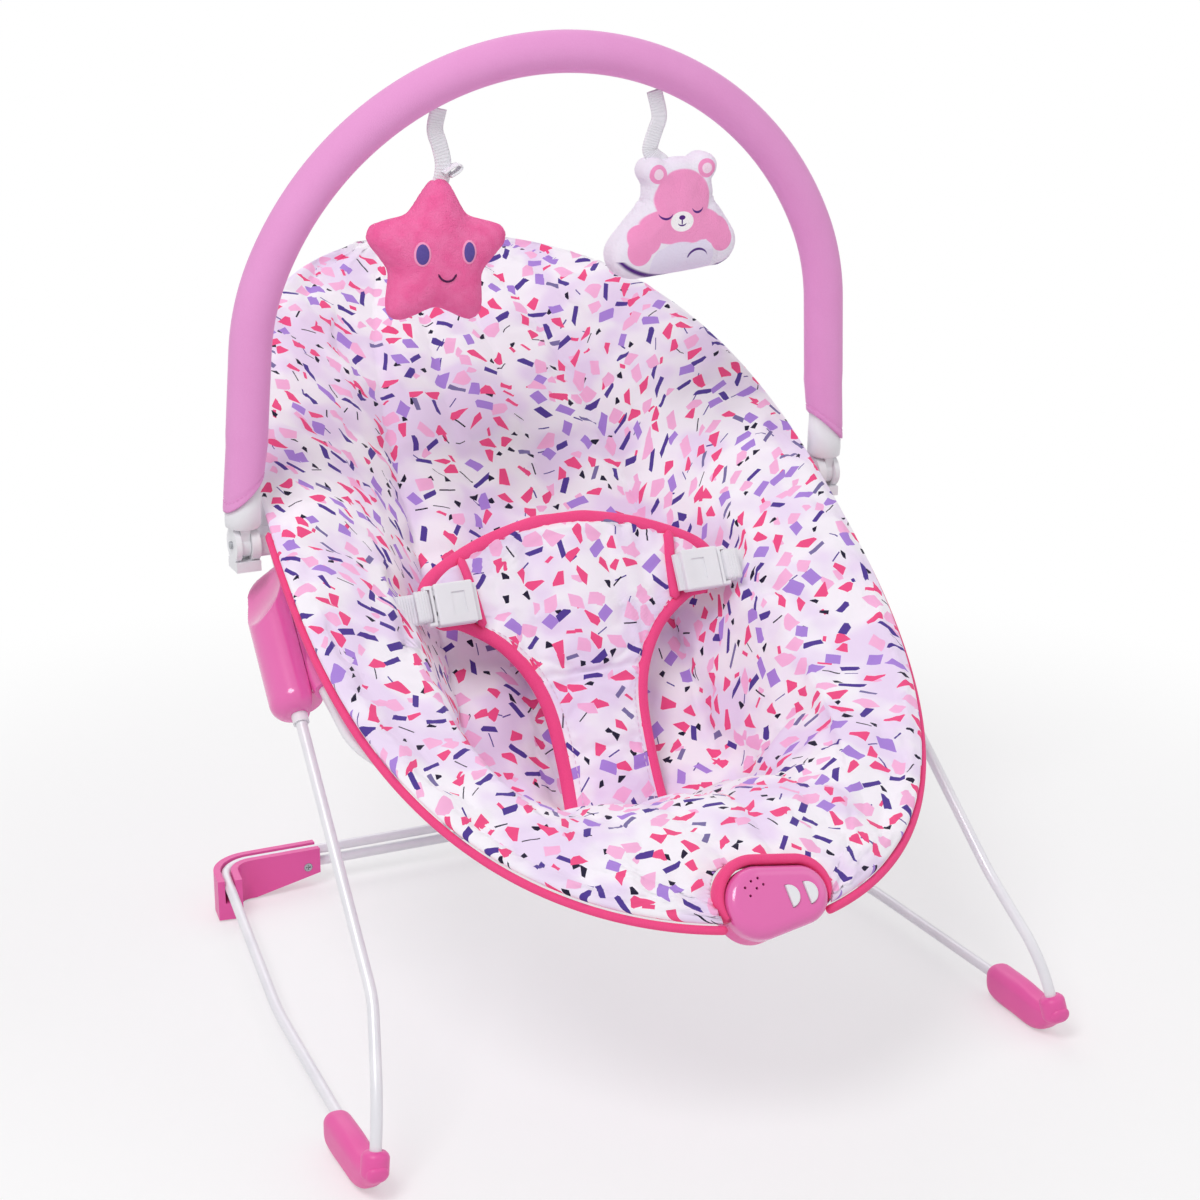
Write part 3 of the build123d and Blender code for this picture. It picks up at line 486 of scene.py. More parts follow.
def skin(name, rings, finish, middle=0):
    """A closed skin over rings of equal count, in millimetres from the feet, with its two ends filled.

    The print is laid out by the lengths round each ring, from the point numbered middle, and along that
    point's run.
    """
    rings = np.asarray(rings, float)
    rows, sides = rings.shape[:2]
    steps = np.linalg.norm(np.roll(rings, -1, axis=1) - rings, axis=2)
    around = np.concatenate([np.zeros((rows, 1)), np.cumsum(steps, axis=1)], axis=1)
    around -= around[:, middle:middle + 1]
    onward = np.concatenate([[0], np.cumsum(np.linalg.norm(np.diff(rings[:, middle], axis=0), axis=1))])
    faces, places = [], []
    for row in range(rows - 1):
        for side in range(sides):
            after = (side + 1) % sides
            here = row * sides
            faces.append((here + side, here + after, here + sides + after, here + sides + side))
            places += [(around[row, side], onward[row]), (around[row, side + 1], onward[row])]
            places += [(around[row + 1, side + 1], onward[row + 1]), (around[row + 1, side], onward[row + 1])]
    middles = np.array([rings[0].mean(0), rings[-1].mean(0)])
    points = np.concatenate([rings.reshape(-1, 3), middles])
    last = (rows - 1) * sides
    for side in range(sides):
        after = (side + 1) % sides
        faces.append((after, side, rows * sides))
        faces.append((last + side, last + after, rows * sides + 1))
        for row, near, far, beyond in ((0, side + 1, side, -CAP_PRINT), (-1, side, side + 1, CAP_PRINT)):
            places += [(around[row, near], onward[row]), (around[row, far], onward[row])]
            places.append((around[row, side], onward[row] + beyond))
    return piece(name, placed(points), faces, finish, print_at=np.array(places) * 0.001)


def along(path):
    """Unit tangents, and two unit normals carried along the path without twist."""
    path = np.asarray(path, float)
    tangents = np.gradient(path, axis=0)
    tangents /= np.linalg.norm(tangents, axis=1)[:, None]
    first = np.cross(tangents[0], (0.0, 0.0, 1.0))
    if np.linalg.norm(first) < 0.2:
        first = np.cross(tangents[0], (1.0, 0.0, 0.0))
    normals = [first / np.linalg.norm(first)]
    for tangent in tangents[1:]:
        carried = normals[-1] - tangent * (normals[-1] @ tangent)
        normals.append(carried / np.linalg.norm(carried))
    normals = np.array(normals)
    return tangents, normals, np.cross(tangents, normals)


def full_turn(count):
    return np.linspace(0, 2 * pi, count, endpoint=False)


def both_halves(half):
    """A path whose second half mirrors the first, which ends on the middle line."""
    return np.vstack([half, (half * (-1, 1))[::-1][1:]])


def tube_rings(path, radius, sides=16, round_ends=0.0, flat=1.0):
    """Rings round a path. radius may vary along it, and flat squeezes its second normal."""
    path = np.asarray(path, float)
    radius = np.broadcast_to(np.asarray(radius, float), len(path)).copy()
    if round_ends:
        reach = lengths(path)
        near = np.minimum(reach, reach[-1] - reach)
        radius *= np.sqrt(np.clip(1 - np.clip(1 - near / round_ends, 0, 1) ** 2, 0.01, 1))
    tangents, first, second = along(path)
    turn = full_turn(sides)
    return path[:, None] + radius[:, None, None] * (
        first[:, None] * np.cos(turn)[None, :, None] + flat * second[:, None] * np.sin(turn)[None, :, None]
    )


def tube(name, path, radius, finish, **shape):
    return skin(name, tube_rings(path, radius, **shape), finish)


def lengths(path):
    """Distance along a path, at each of its points."""
    return np.concatenate([[0], np.cumsum(np.linalg.norm(np.diff(path, axis=0), axis=1))])


def evenly(points, spacing):
    """A smooth run of points through the given ones, about spacing apart."""
    points = np.asarray(points, float)
    before = np.vstack([2 * points[0] - points[1], points, 2 * points[-1] - points[-2]])
    run = []
    for i in range(len(points) - 1):
        a, b, c, d = before[i:i + 4]
        count = max(2, int(np.linalg.norm(c - b) / spacing))
        t = np.linspace(0, 1, count, endpoint=False)[:, None]
        run.append(0.5 * (
            2 * b + (c - a) * t + (2 * a - 5 * b + 4 * c - d) * t**2 + (3 * b - a - 3 * c + d) * t**3
        ))
    return np.vstack([*run, points[-1:]])


def ribbon(name, path, across, width, thick, finish):
    """A flat tape along a path, with rounded edges. across is the direction of its width."""
    path = np.asarray(path, float)
    tangents = along(path)[0]
    across = np.broadcast_to(np.asarray(across, float), path.shape)
    across = across - tangents * np.sum(across * tangents, axis=1)[:, None]
    across /= np.linalg.norm(across, axis=1)[:, None]
    up = np.cross(across, tangents)
    half, deep = width / 2, thick / 2
    shares = np.linspace(-1, 1, 9)
    outline = [(half * share, deep * (1 - abs(share) ** 8 * 0.6)) for share in shares]
    outline += [(half * share, -deep * (1 - abs(share) ** 8 * 0.6)) for share in reversed(shares)]
    rings = [[point + a * x + u * z for x, z in outline] for point, a, u in zip(path, across, up)]
    return skin(name, rings, finish)


def stitch_tree():
    """Stitches along a line: a small thread capsule at each step, lying along it."""
    tree = bpy.data.node_groups.new("stitch_row", "GeometryNodeTree")
    sockets = {
        "Line": "Geometry", "Spacing": "Float", "Length": "Float", "Thickness": "Float", "Thread": "Material",
    }
    for socket, kind in sockets.items():
        tree.interface.new_socket(socket, in_out="INPUT", socket_type=f"NodeSocket{kind}")
    tree.interface.new_socket("Stitches", in_out="OUTPUT", socket_type="NodeSocketGeometry")
    nodes = Nodes(tree)
    given = nodes.node("NodeGroupInput")
    curve = nodes.node("GeometryNodeMeshToCurve", inputs={"Mesh": given["Line"]})
    run = {"Curve": curve["Curve"], "Length": given["Spacing"]}
    spaced = nodes.node("GeometryNodeResampleCurve", {"mode": "LENGTH"}, run)
    tangent = nodes.node("GeometryNodeInputTangent")
    turn = nodes.node("FunctionNodeAlignRotationToVector", {"axis": "Z"}, {"Vector": tangent["Tangent"]})
    shape = nodes.node("GeometryNodeMeshUVSphere", inputs={"Segments": 6, "Rings": 4, "Radius": 0.5})
    sizes = {"X": given["Thickness"], "Y": given["Thickness"], "Z": given["Length"]}
    size = nodes.node("ShaderNodeCombineXYZ", inputs=sizes)
    each = nodes.node("GeometryNodeInstanceOnPoints", inputs={
        "Points": spaced["Curve"], "Instance": shape["Mesh"],
        "Rotation": turn["Rotation"], "Scale": size["Vector"],
    })
    real = nodes.node("GeometryNodeRealizeInstances", inputs={"Geometry": each["Instances"]})
    threads = {"Geometry": real["Geometry"], "Material": given["Thread"]}
    thread = nodes.node("GeometryNodeSetMaterial", inputs=threads)
    nodes.node("NodeGroupOutput", inputs={"Stitches": thread["Geometry"]})
    return tree


STITCH_ROW = stitch_tree()


def stitches(name, lines, body, thread=None, spacing=4.2, length=3.0, thick=0.7):
    """Rows of stitches along lines of points, in millimetres from the feet."""
    points, edges = [], []
    for line in lines:
        start = len(points)
        points += [tuple(point) for point in placed(line)]
        edges += [(start + i, start + i + 1) for i in range(len(line) - 1)]
    mesh = bpy.data.meshes.new(name)
    mesh.from_pydata(points, edges, [])
    line = added(name + "_line", mesh)
    rows = line.modifiers.new("rows", "NODES")
    rows.node_group = STITCH_ROW
    sizes = {"Spacing": spacing * 0.001, "Length": length * 0.001, "Thickness": thick * 0.001}
    sizes["Thread"] = thread or THREAD
    for socket in STITCH_ROW.interface.items_tree:
        if socket.in_out == "INPUT" and socket.name in sizes:
            rows[socket.identifier] = sizes[socket.name]
    graph = bpy.context.evaluated_depsgraph_get()
    made = added(name, bpy.data.meshes.new_from_object(line.evaluated_get(graph)))
    bpy.data.objects.remove(line)
    set_smooth(made.data)
    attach(made, body)
    return made


# Seat rim and padded bucket

def rim_height(y):
    """The rim's height at y, the same curve as in the solids."""
    d = np.asarray(y, float) - 184.0
    return 270.0 + 0.643 * d + 1.98e-4 * d**2 - 1.711e-6 * d**3


def rim_width(y):
    """Half the rim's width at y."""
    y = np.asarray(y, float)
    ahead = np.clip((RIM_MID_Y - y) / RIM_FRONT, 0, 1)
    behind = np.clip((y - RIM_MID_Y) / RIM_BACK, 0, 1)
    front = (1 - ahead ** RIM_FRONT_POWERS[0]) ** (1 / RIM_FRONT_POWERS[1])
    back = (1 - behind ** RIM_BACK_POWERS[0]) ** (1 / RIM_BACK_POWERS[1])
    return RIM_HALF_WIDTH * np.where(y < RIM_MID_Y, front, back)


def rim_run(first, last, count, inset=0.0, end_inset=0.0, below=0.0):
    """Points of the rim from one turn to another, in degrees from the front."""
    turn = np.radians(np.linspace(first, last, count))
    ahead, aside = np.cos(turn), np.sin(turn)
    front = ahead > 0
    reach = np.where(front, RIM_FRONT, RIM_BACK) - end_inset
    pairs = zip(RIM_FRONT_POWERS, RIM_BACK_POWERS)
    along_power, across_power = (np.where(front, *pair) for pair in pairs)
    y = RIM_MID_Y - np.sign(ahead) * reach * np.abs(ahead) ** (2 / along_power)
    x = np.sign(aside) * (RIM_HALF_WIDTH - inset) * np.abs(aside) ** (2 / across_power)
    return np.stack([x, y, rim_height(y) - below], axis=1)


def through_stations(y):
    """Middle height, wing height and channel rise at y, smooth through the stations."""
    stations = PAD_STATIONS
    slopes = np.gradient(stations[:, 1:], stations[:, 0], axis=0)
    i = int(np.clip(np.searchsorted(stations[:, 0], y) - 1, 0, len(stations) - 2))
    gap = stations[i + 1, 0] - stations[i, 0]
    t = (y - stations[i, 0]) / gap
    return (
        (2 * t**3 - 3 * t**2 + 1) * stations[i, 1:] + (t**3 - 2 * t**2 + t) * gap * slopes[i]
        + (3 * t**2 - 2 * t**3) * stations[i + 1, 1:] + (t**3 - t**2) * gap * slopes[i + 1]
    )


def bow(start, end, rise, count):
    """Points from start to just before end, bowed by rise."""
    t = np.linspace(0, 1, count, endpoint=False)
    x = start[0] + (end[0] - start[0]) * t
    z = start[1] + (end[1] - start[1]) * t + 4 * rise * t * (1 - t)
    return np.stack([x, z], axis=1)


# Sewn points of the pad's outline: its edge, and the seams beside the wings, panels and channels
SEWN_POINTS = (*range(9), 30, 48, 62)
LAST_TOP_POINT = 140


def pad_ring(y):
    """The pad's closed outline at y, from the right-hand edge over the top and back underneath.

    It comes with how firmly each of its points is sewn.
    """
    middle, wing, channel = through_stations(y)
    wide = float(rim_width(y)) - PIPING_RADIUS - 0.3
    rim = float(rim_height(y))
    lip = min(LIP_WIDTH, 0.2 * wide)
    middle_z = rim + middle
    edge_z = middle_z + 0.14 * (wing - middle)
    top = [
        (wide, rim + LIP_TOP), (wide - lip, rim + LIP_TOP), (WING_SHARE * wide, rim + wing),
        (PANEL_SHARE * wide, edge_z), (CHANNEL_SHARE * wide, middle_z), (-CHANNEL_SHARE * wide, middle_z),
    ]
    low = [
        (wide, rim + LIP_TOP - LIP_THICK), (wide - lip, rim + LIP_TOP - LIP_THICK),
        (WING_SHARE * wide + 4, rim + wing - PAD_THICK), (PANEL_SHARE * wide + 4, edge_z - PAD_THICK),
    ]
    roll = np.radians(np.linspace(-90, 90, 8, endpoint=False))
    edge = np.stack([wide + 2.6 * np.cos(roll), rim + LIP_TOP - LIP_THICK / 2 * (1 - np.sin(roll))], axis=1)
    slope = -0.05 * (wing - middle) - 0.6
    right = np.vstack([
        edge, bow(top[0], top[1], 1.2, 4), bow(top[1], top[2], 3.5, 18),
        bow(top[2], top[3], slope, 18), bow(top[3], top[4], channel, 14),
    ])
    centre = np.vstack([bow(top[4], top[5], channel, 16), top[5:]])
    left = (right * (-1, 1))[::-1]
    far = [(-x, z) for x, z in low]
    under = np.vstack([
        bow(far[0], far[1], 0, 3)[1:], bow(far[1], far[2], 0.6, 8), bow(far[2], far[3], -1.0, 10),
        bow(far[3], low[3], -0.14 * (wing - middle) - 1.0, 20),
        bow(low[3], low[2], -1.0, 10), bow(low[2], low[1], 0.6, 8), bow(low[1], low[0], 0, 3),
    ])
    ring = np.vstack([right, centre, left, under])
    sewn = np.zeros(len(ring))
    for at in SEWN_POINTS:
        sewn[[at, LAST_TOP_POINT - at]] = 1.0
    sewn[LAST_TOP_POINT + 1:] = 0.7
    return np.stack([ring[:, 0], np.full(len(ring), y), ring[:, 1]], axis=1), sewn


def unit_axes():
    """Across, up and out of the control unit's face."""
    tilt = radians(UNIT_TILT)
    return np.array((1.0, 0, 0)), np.array((0, sin(tilt), cos(tilt))), np.array((0, -cos(tilt), sin(tilt)))


def unit_ring(grow, rise, depth, turns=None):
    """The unit's outline, grown and raised, at a depth from its middle plane."""
    across, up, out = unit_axes()
    lean = asin((UNIT_BIG[1] - UNIT_SMALL[1]) / (UNIT_SMALL[0] - UNIT_BIG[0]))
    points = []
    for turn in full_turn(72) if turns is None else turns:
        right = abs((turn + pi) % (2 * pi) - pi) < pi / 2 - lean
        x, radius = UNIT_SMALL if right else UNIT_BIG
        a, b = x + (radius + grow) * cos(turn), rise + (radius + grow) * sin(turn)
        points.append(UNIT_CENTRE + across * a + up * b + out * depth)
    return np.array(points)


SWELL_STEPS = 20


def swollen(made, sewn, cap, pressure=4.0, slack=0.03):
    """Lets a closed piece swell as cloth between its sewn points.

    No point moves further than cap, in millimetres.
    """
    rest = points_of(made.data)
    group = made.vertex_groups.new(name="sewn")
    for weight in np.unique(sewn):
        if weight > 0:
            group.add([int(i) for i in np.flatnonzero(sewn == weight)], float(weight), "REPLACE")
    cloth = made.modifiers.new("swell", "CLOTH")
    cloth.settings.vertex_group_mass = "sewn"
    cloth.settings.use_pressure = True
    cloth.settings.uniform_pressure_force = pressure
    cloth.settings.shrink_min = -slack
    cloth.settings.effector_weights.gravity = 0.0
    cloth.settings.quality = 4
    cloth.point_cache.frame_start = 1
    cloth.point_cache.frame_end = SWELL_STEPS
    for step in range(1, SWELL_STEPS + 1):
        bpy.context.scene.frame_set(step)
    graph = bpy.context.evaluated_depsgraph_get()
    moved = points_of(made.evaluated_get(graph).data) - rest
    made.modifiers.remove(cloth)
    made.vertex_groups.remove(group)
    bpy.context.scene.frame_set(1)
    far = np.linalg.norm(moved, axis=1)
    moved *= np.minimum(1, cap * 0.001 / np.maximum(far, 1e-9))[:, None]
    made.data.vertices.foreach_set("co", np.ravel(rest + moved))
    made.data.update()


def points_of(mesh):
    flat = np.empty(3 * len(mesh.vertices))
    mesh.vertices.foreach_get("co", flat)
    return flat.reshape(-1, 3)


def panel_axes():
    """Up along the crotch panel, and out of its face."""
    lean = radians(PANEL_LEAN)
    return np.array((0, sin(lean), cos(lean))), np.array((0, -cos(lean), sin(lean)))


# The room that a buckle tongue takes as it slides out: from x to x, half its height, and under its bar
TONGUE_WAY = (97.0, 119.5, 14.5)
TONGUE_UNDER = 9.0
# How steeply the cloth rises again beside that room, and where and over what length the press fades out
TONGUE_SLOPE = 1.2
TONGUE_REACH = 14.0
TONGUE_FADE = 6.0


def pressed_by_tongues(made):
    """Presses the cloth down under the buckle tongues, all along the way that they slide out."""
    up, out = panel_axes()
    points = points_of(made.data)
    local = points * 1000 + (0, FEET_TO_MIDDLE, 0) - PANEL_FOOT
    x, v, w = np.abs(local[:, 0]), local @ up, local @ out
    gaps = [TONGUE_WAY[0] - x, x - TONGUE_WAY[1], np.abs(v - BUCKLE_V) - TONGUE_WAY[2], 0 * x]
    beyond = np.max(gaps, axis=0)
    fade = np.clip((TONGUE_REACH - beyond) / TONGUE_FADE, 0, 1)
    over = np.clip(w - TONGUE_UNDER - TONGUE_SLOPE * beyond, 0, None) * fade
    made.data.vertices.foreach_set("co", np.ravel(points - over[:, None] * out * 0.001))
    made.data.update()


# The pad's outlines lie closer together ahead of this y
PAD_DENSE = 30.0


def padded_seat():
    """The padded bucket, swollen between its seams and open where the unit's pocket sits."""
    first, last = PAD_STATIONS[[0, -1], 0]
    dense = np.linspace(first, PAD_DENSE, 40, endpoint=False)
    ys = np.concatenate([dense, np.linspace(PAD_DENSE, last, 120)])
    rings, sewn = (np.array(rows) for rows in zip(*(pad_ring(y) for y in ys)))

    def closing(ring, way):
        middle = 0.5 * (ring[:, 2].max() + ring[:, 2].min())
        caps = []
        for out, share in ((1.6, 0.85), (2.6, 0.6), (3.2, 0.3)):
            cap = ring.copy()
            cap[:, 0] *= 0.9 + 0.1 * share
            cap[:, 1] += way * out
            cap[:, 2] = middle + (cap[:, 2] - middle) * share
            caps.append(cap)
        return caps

    sewn[[0, -1]] = 1.0
    ends = np.ones((3, sewn.shape[1]))
    rings = [*reversed(closing(rings[0], -1)), *rings, *closing(rings[-1], 1)]
    pad = skin("padded_seat", rings, PRINT_CLOTH, middle=LAST_TOP_POINT // 2)
    swollen(pad, np.concatenate([np.ravel([*ends, *sewn, *ends]), (1.0, 1.0)]), 6.0)
    pressed_by_tongues(pad)
    shape = [unit_ring(POCKET_THICK - 0.5, POCKET_RISE, depth) for depth in (-45, 40)]
    cut_away(pad, skin("pocket_cutter", shape, PRINT_CLOTH))
    return pad


pad = padded_seat()
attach(pad, "seat")
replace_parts(pad, "seat_pad")


def in_pocket(points, grow):
    """Which points lie within the pocket's outline, grown by a margin."""
    across, up, out = unit_axes()
    local = points - UNIT_CENTRE
    a, b = local @ across, local @ up - POCKET_RISE
    share = np.clip((a - UNIT_BIG[0]) / (UNIT_SMALL[0] - UNIT_BIG[0]), 0, 1)
    x = UNIT_BIG[0] + share * (UNIT_SMALL[0] - UNIT_BIG[0])
    radius = UNIT_BIG[1] + share * (UNIT_SMALL[1] - UNIT_BIG[1])
    return np.hypot(a - x, b) < radius + grow


def seat_piping():
    """The piping round the front of the rim, in two halves that end at the unit's pocket."""
    run = rim_run(-97, 97, 400)
    inside = in_pocket(run, POCKET_THICK - 1)
    first, last = np.flatnonzero(inside)[[0, -1]]
    halves = (("left", run[:first + 1]), ("right", run[last:]))
    shape = {"sides": 14, "round_ends": 2.5}
    return [tube(f"piping_{side}", part, PIPING_RADIUS, CORAL_TRIM, **shape) for side, part in halves]


for cord in seat_piping():
    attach(cord, "seat")
    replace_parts(cord, "seat_piping")


def bent_run(corners, ease=8):
    """A run along straight lines, with eased corners."""
    reach = lengths(corners)
    dense = np.arange(0, reach[-1], 1.0)
    run = np.stack([np.interp(dense, reach, corners[:, axis]) for axis in range(3)], axis=1)
    wide = np.pad(run, ((ease, ease), (0, 0)), mode="edge")
    window = np.full(2 * ease + 1, 1 / (2 * ease + 1))
    eased = np.stack([np.convolve(wide[:, axis], window, "valid") for axis in range(3)], axis=1)
    eased[:ease], eased[-ease:] = run[:ease], run[-ease:]
    return eased[::2]


def rim_hem(name, run, node):
    """The cloth tunnel round the seat tube, slightly gathered."""
    reach = lengths(run)
    gathers = HEM_RADIUS - 0.35 + 0.3 * np.sin(reach / 4.3) * np.sin(reach / 17)
    made = tube(name, run, gathers, PRINT_CLOTH, sides=18, round_ends=2)
    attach(made, "seat")
    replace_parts(made, node)


# The front hem stops this far from the middle, where the unit hooks on the tube
HEM_GAP = 34.0
front_run = bent_run(rim_run(-58, 58, 8, TUBE_IN + 4, TUBE_FRONT_IN, TUBE_BELOW))
rim_hem("front_hem_left", front_run[front_run[:, 0] < -HEM_GAP], "seat_hem_front")
rim_hem("front_hem_right", front_run[front_run[:, 0] > HEM_GAP], "seat_hem_front")
rim_hem("back_hem", bent_run(rim_run(180 + 62, 180 - 62, 12, TUBE_IN, TUBE_IN, TUBE_BELOW)), "seat_hem_back")


def pocket_hood():
    """The padded band over the unit's top and sides, thinning to both ends."""
    # Depth from the unit's middle plane, and how far outside the unit
    section = (
        (-10.5, 2.2), (-9.5, 4.4), (-6, 5.0), (-2, 4.9), (0.8, 4.0),
        (1.9, 2.4), (1.4, 0.8), (-4, 0.45), (-10, 0.45),
    )
    right = asin((POCKET_END - POCKET_RISE) / (UNIT_SMALL[1] + POCKET_THICK))
    left = pi - asin((POCKET_END - POCKET_RISE) / (UNIT_BIG[1] + POCKET_THICK))
    rings = []
    for turn in np.linspace(right, left, 90):
        thin = min(1.0, 0.45 + 1.1 * min(turn - right, left - turn))
        ring = []
        for depth, grow in section:
            lift = POCKET_RISE if grow > 1 else POCKET_RISE * 0.2
            ring.append(unit_ring(0.45 + (grow - 0.45) * thin, lift, depth, [turn])[0])
        rings.append(ring)
    return skin("pocket_hood", rings, CORAL_TRIM)


hood = pocket_hood()
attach(hood, "seat")
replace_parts(hood, "unit_pocket")


# Front shoes and hub covers

FOOT_X = 227.0
LEG_END = np.array((-227.0, -17.0, 17.0))
LEG_SHIN = np.array((-221.0, -8.0, 52.0))
SHOE_RING_RADIUS = 8.2
# For each section of a shoe, from heel to toe: distance from the feet, width, lower and upper height, corner
SHOE = np.array([
    (53.5, 6.0, 11.0, 17.5, 3.0), (52, 12.0, 7.5, 20.5, 5.5), (47, 16.5, 2.0, 23.6, 7.0),
    (38, 17.0, 0.0, 24.0, 7.0), (20, 17.0, 0.0, 24.0, 7.0), (3, 16.0, 0.0, 22.4, 6.0),
    (-8, 15.4, 3.2, 22.4, 6.0), (-16, 14.4, 9.5, 23.4, 5.5), (-23, 12.5, 14.5, 24.0, 4.5),
    (-25, 7.0, 17.0, 22.5, 2.5),
])


def shoe_rings():
    """Rounded rectangles from heel to toe."""
    rings = []
    for y, wide, low, high, corner in evenly(SHOE, 1.5):
        corner = min(corner, wide / 2 - 0.2, (high - low) / 2 - 0.2)
        ring = []
        for quarter in range(4):
            cx = (wide / 2 - corner) * (1 if quarter in (0, 3) else -1)
            cz = (low + high) / 2 + ((high - low) / 2 - corner) * (1 if quarter < 2 else -1)
            for turn in np.linspace(quarter * pi / 2, (quarter + 1) * pi / 2, 7):
                ring.append((cx + corner * cos(turn), y, max(cz + corner * sin(turn), 0.0)))
        rings.append(ring)
    return np.array(rings)


def mirrored(points, way):
    return np.asarray(points) * (-way, 1, 1)


for side, way in SIDES:
    shoe = skin(f"front_shoe_{side}", mirrored(shoe_rings() + (-FOOT_X, 0, 0), way), PINK_MOULDED)
    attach(shoe, "floor_frame")
    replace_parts(shoe, f"front_foot_{side}")
    axis = (LEG_SHIN - LEG_END) / np.linalg.norm(LEG_SHIN - LEG_END)
    line = [LEG_END + axis * reach for reach in np.linspace(-3, 13, 12)]
    radius = np.array([6.0, 7.6, *[SHOE_RING_RADIUS] * 7, 8.1, 7.4, 5.8])
    ring = tube(f"shoe_ring_{side}", mirrored(line, way), radius, PINK_MOULDED, sides=28)
    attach(ring, "floor_frame")

HUB_LOW = np.array((-198.0, 181.0, 218.0))
HUB_HIGH = np.array((-193.0, 262.0, 285.0))
HUB_RADIUS = 16.5
# Roundings of the hub's lower and upper end
HUB_ROUNDS = (10.0, 9.0)
HUB_PARTING = -7.0
HUB_SLANT = 24.0
HUB_TURN = 32.0
HUB_FACET_LOW = 9.0
DISH_RADIUS = 70.0
DISH_DEPTH = 3.4
HUB_VOXEL = 0.7


def hub_axes():
    """Outwards, sideways and along the left hub."""
    along_hub = (HUB_HIGH - HUB_LOW) / np.linalg.norm(HUB_HIGH - HUB_LOW)
    out = np.array((-1.0, 0, 0))
    out -= along_hub * (out @ along_hub)
    out /= np.linalg.norm(out)
    return out, np.cross(along_hub, out), along_hub


def hub_shell(name, way):
    """A capsule, flat where it meets the core, with a slanting facet dished by a ball."""
    out, aside, along_hub = hub_axes()
    middle = (HUB_LOW + HUB_HIGH) / 2
    half = np.linalg.norm(HUB_HIGH - HUB_LOW) / 2
    turn = full_turn(64)[:, None]
    low, top = HUB_ROUNDS
    low_bend, top_bend = np.linspace(0.05, pi / 2, 10), np.linspace(0, pi / 2 - 0.05, 10)
    profile = [(-half + low - low * cos(t), HUB_RADIUS - low + low * sin(t)) for t in low_bend]
    profile += [(half - top + top * sin(t), HUB_RADIUS - top + top * cos(t)) for t in top_bend]
    outward = out * np.cos(turn) + aside * np.sin(turn)
    rings = [middle + along_hub * reach + radius * outward for reach, radius in profile]
    made = skin(name, rings, PINK_GLOSS)
    slant, swing = radians(HUB_SLANT), radians(HUB_TURN)
    face_out = out * cos(swing) + aside * sin(swing)
    normal = face_out * cos(slant) + along_hub * sin(slant)
    rise = (half - HUB_FACET_LOW) / 2
    facet_out = HUB_RADIUS - rise * sin(slant) / cos(slant)
    spot = middle + face_out * facet_out + along_hub * (HUB_FACET_LOW + rise)
    with edited(made.data) as trim:
        for at, way_out in ((spot, normal), (middle + out * HUB_PARTING, -out)):
            parts = [*trim.verts, *trim.edges, *trim.faces]
            plane = {"plane_co": placed(at), "plane_no": way_out}
            cut = bmesh.ops.bisect_plane(trim, geom=parts, clear_outer=True, **plane)
            edges = [edge for edge in cut["geom_cut"] if isinstance(edge, bmesh.types.BMEdge)]
            bmesh.ops.edgeloop_fill(trim, edges=edges)
        bmesh.ops.recalc_face_normals(trim, faces=trim.faces)
    ball = bpy.data.meshes.new("dish")
    with edited(ball) as sphere:
        bmesh.ops.create_uvsphere(sphere, u_segments=96, v_segments=64, radius=DISH_RADIUS * 0.001)
    ball.transform(Matrix.Translation(placed(spot + normal * (DISH_RADIUS - DISH_DEPTH))))
    cut_away(made, added("dish", ball))
    softened(made, HUB_VOXEL, 6)
    if way > 0:
        made.data.transform(Matrix.Diagonal((-1, 1, 1, 1)))
        made.data.flip_normals()
    return made


for side, way in SIDES:
    hub = hub_shell(f"hub_shell_{side}", way)
    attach(hub, "seat")
    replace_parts(hub, f"hub_cover_{side}")


# Crotch panel

def on_panel(x, v, w):
    """Points x across, v up and w out of the crotch panel."""
    up, out = panel_axes()
    x, v, w = (np.asarray(part, float)[..., None] for part in (x, v, w))
    return PANEL_FOOT + np.array((1.0, 0, 0)) * x + up * v + out * w


def panel_outline(spacing=2.0):
    """The right-hand edge of the panel, from its foot to the middle of its top."""
    side = np.vstack([PANEL_SIDE, (0.0, PANEL_TOP)])
    return evenly(side, spacing)


# The panel's quilting: two upright seams from a height upwards, and a level one between them
SEAM_X = 40.5
SEAM_START_V = 98.0
LEVEL_SEAM_V = 96.0
SEAM_DEPTH = 2.2
SEWN_EDGE = 5.0


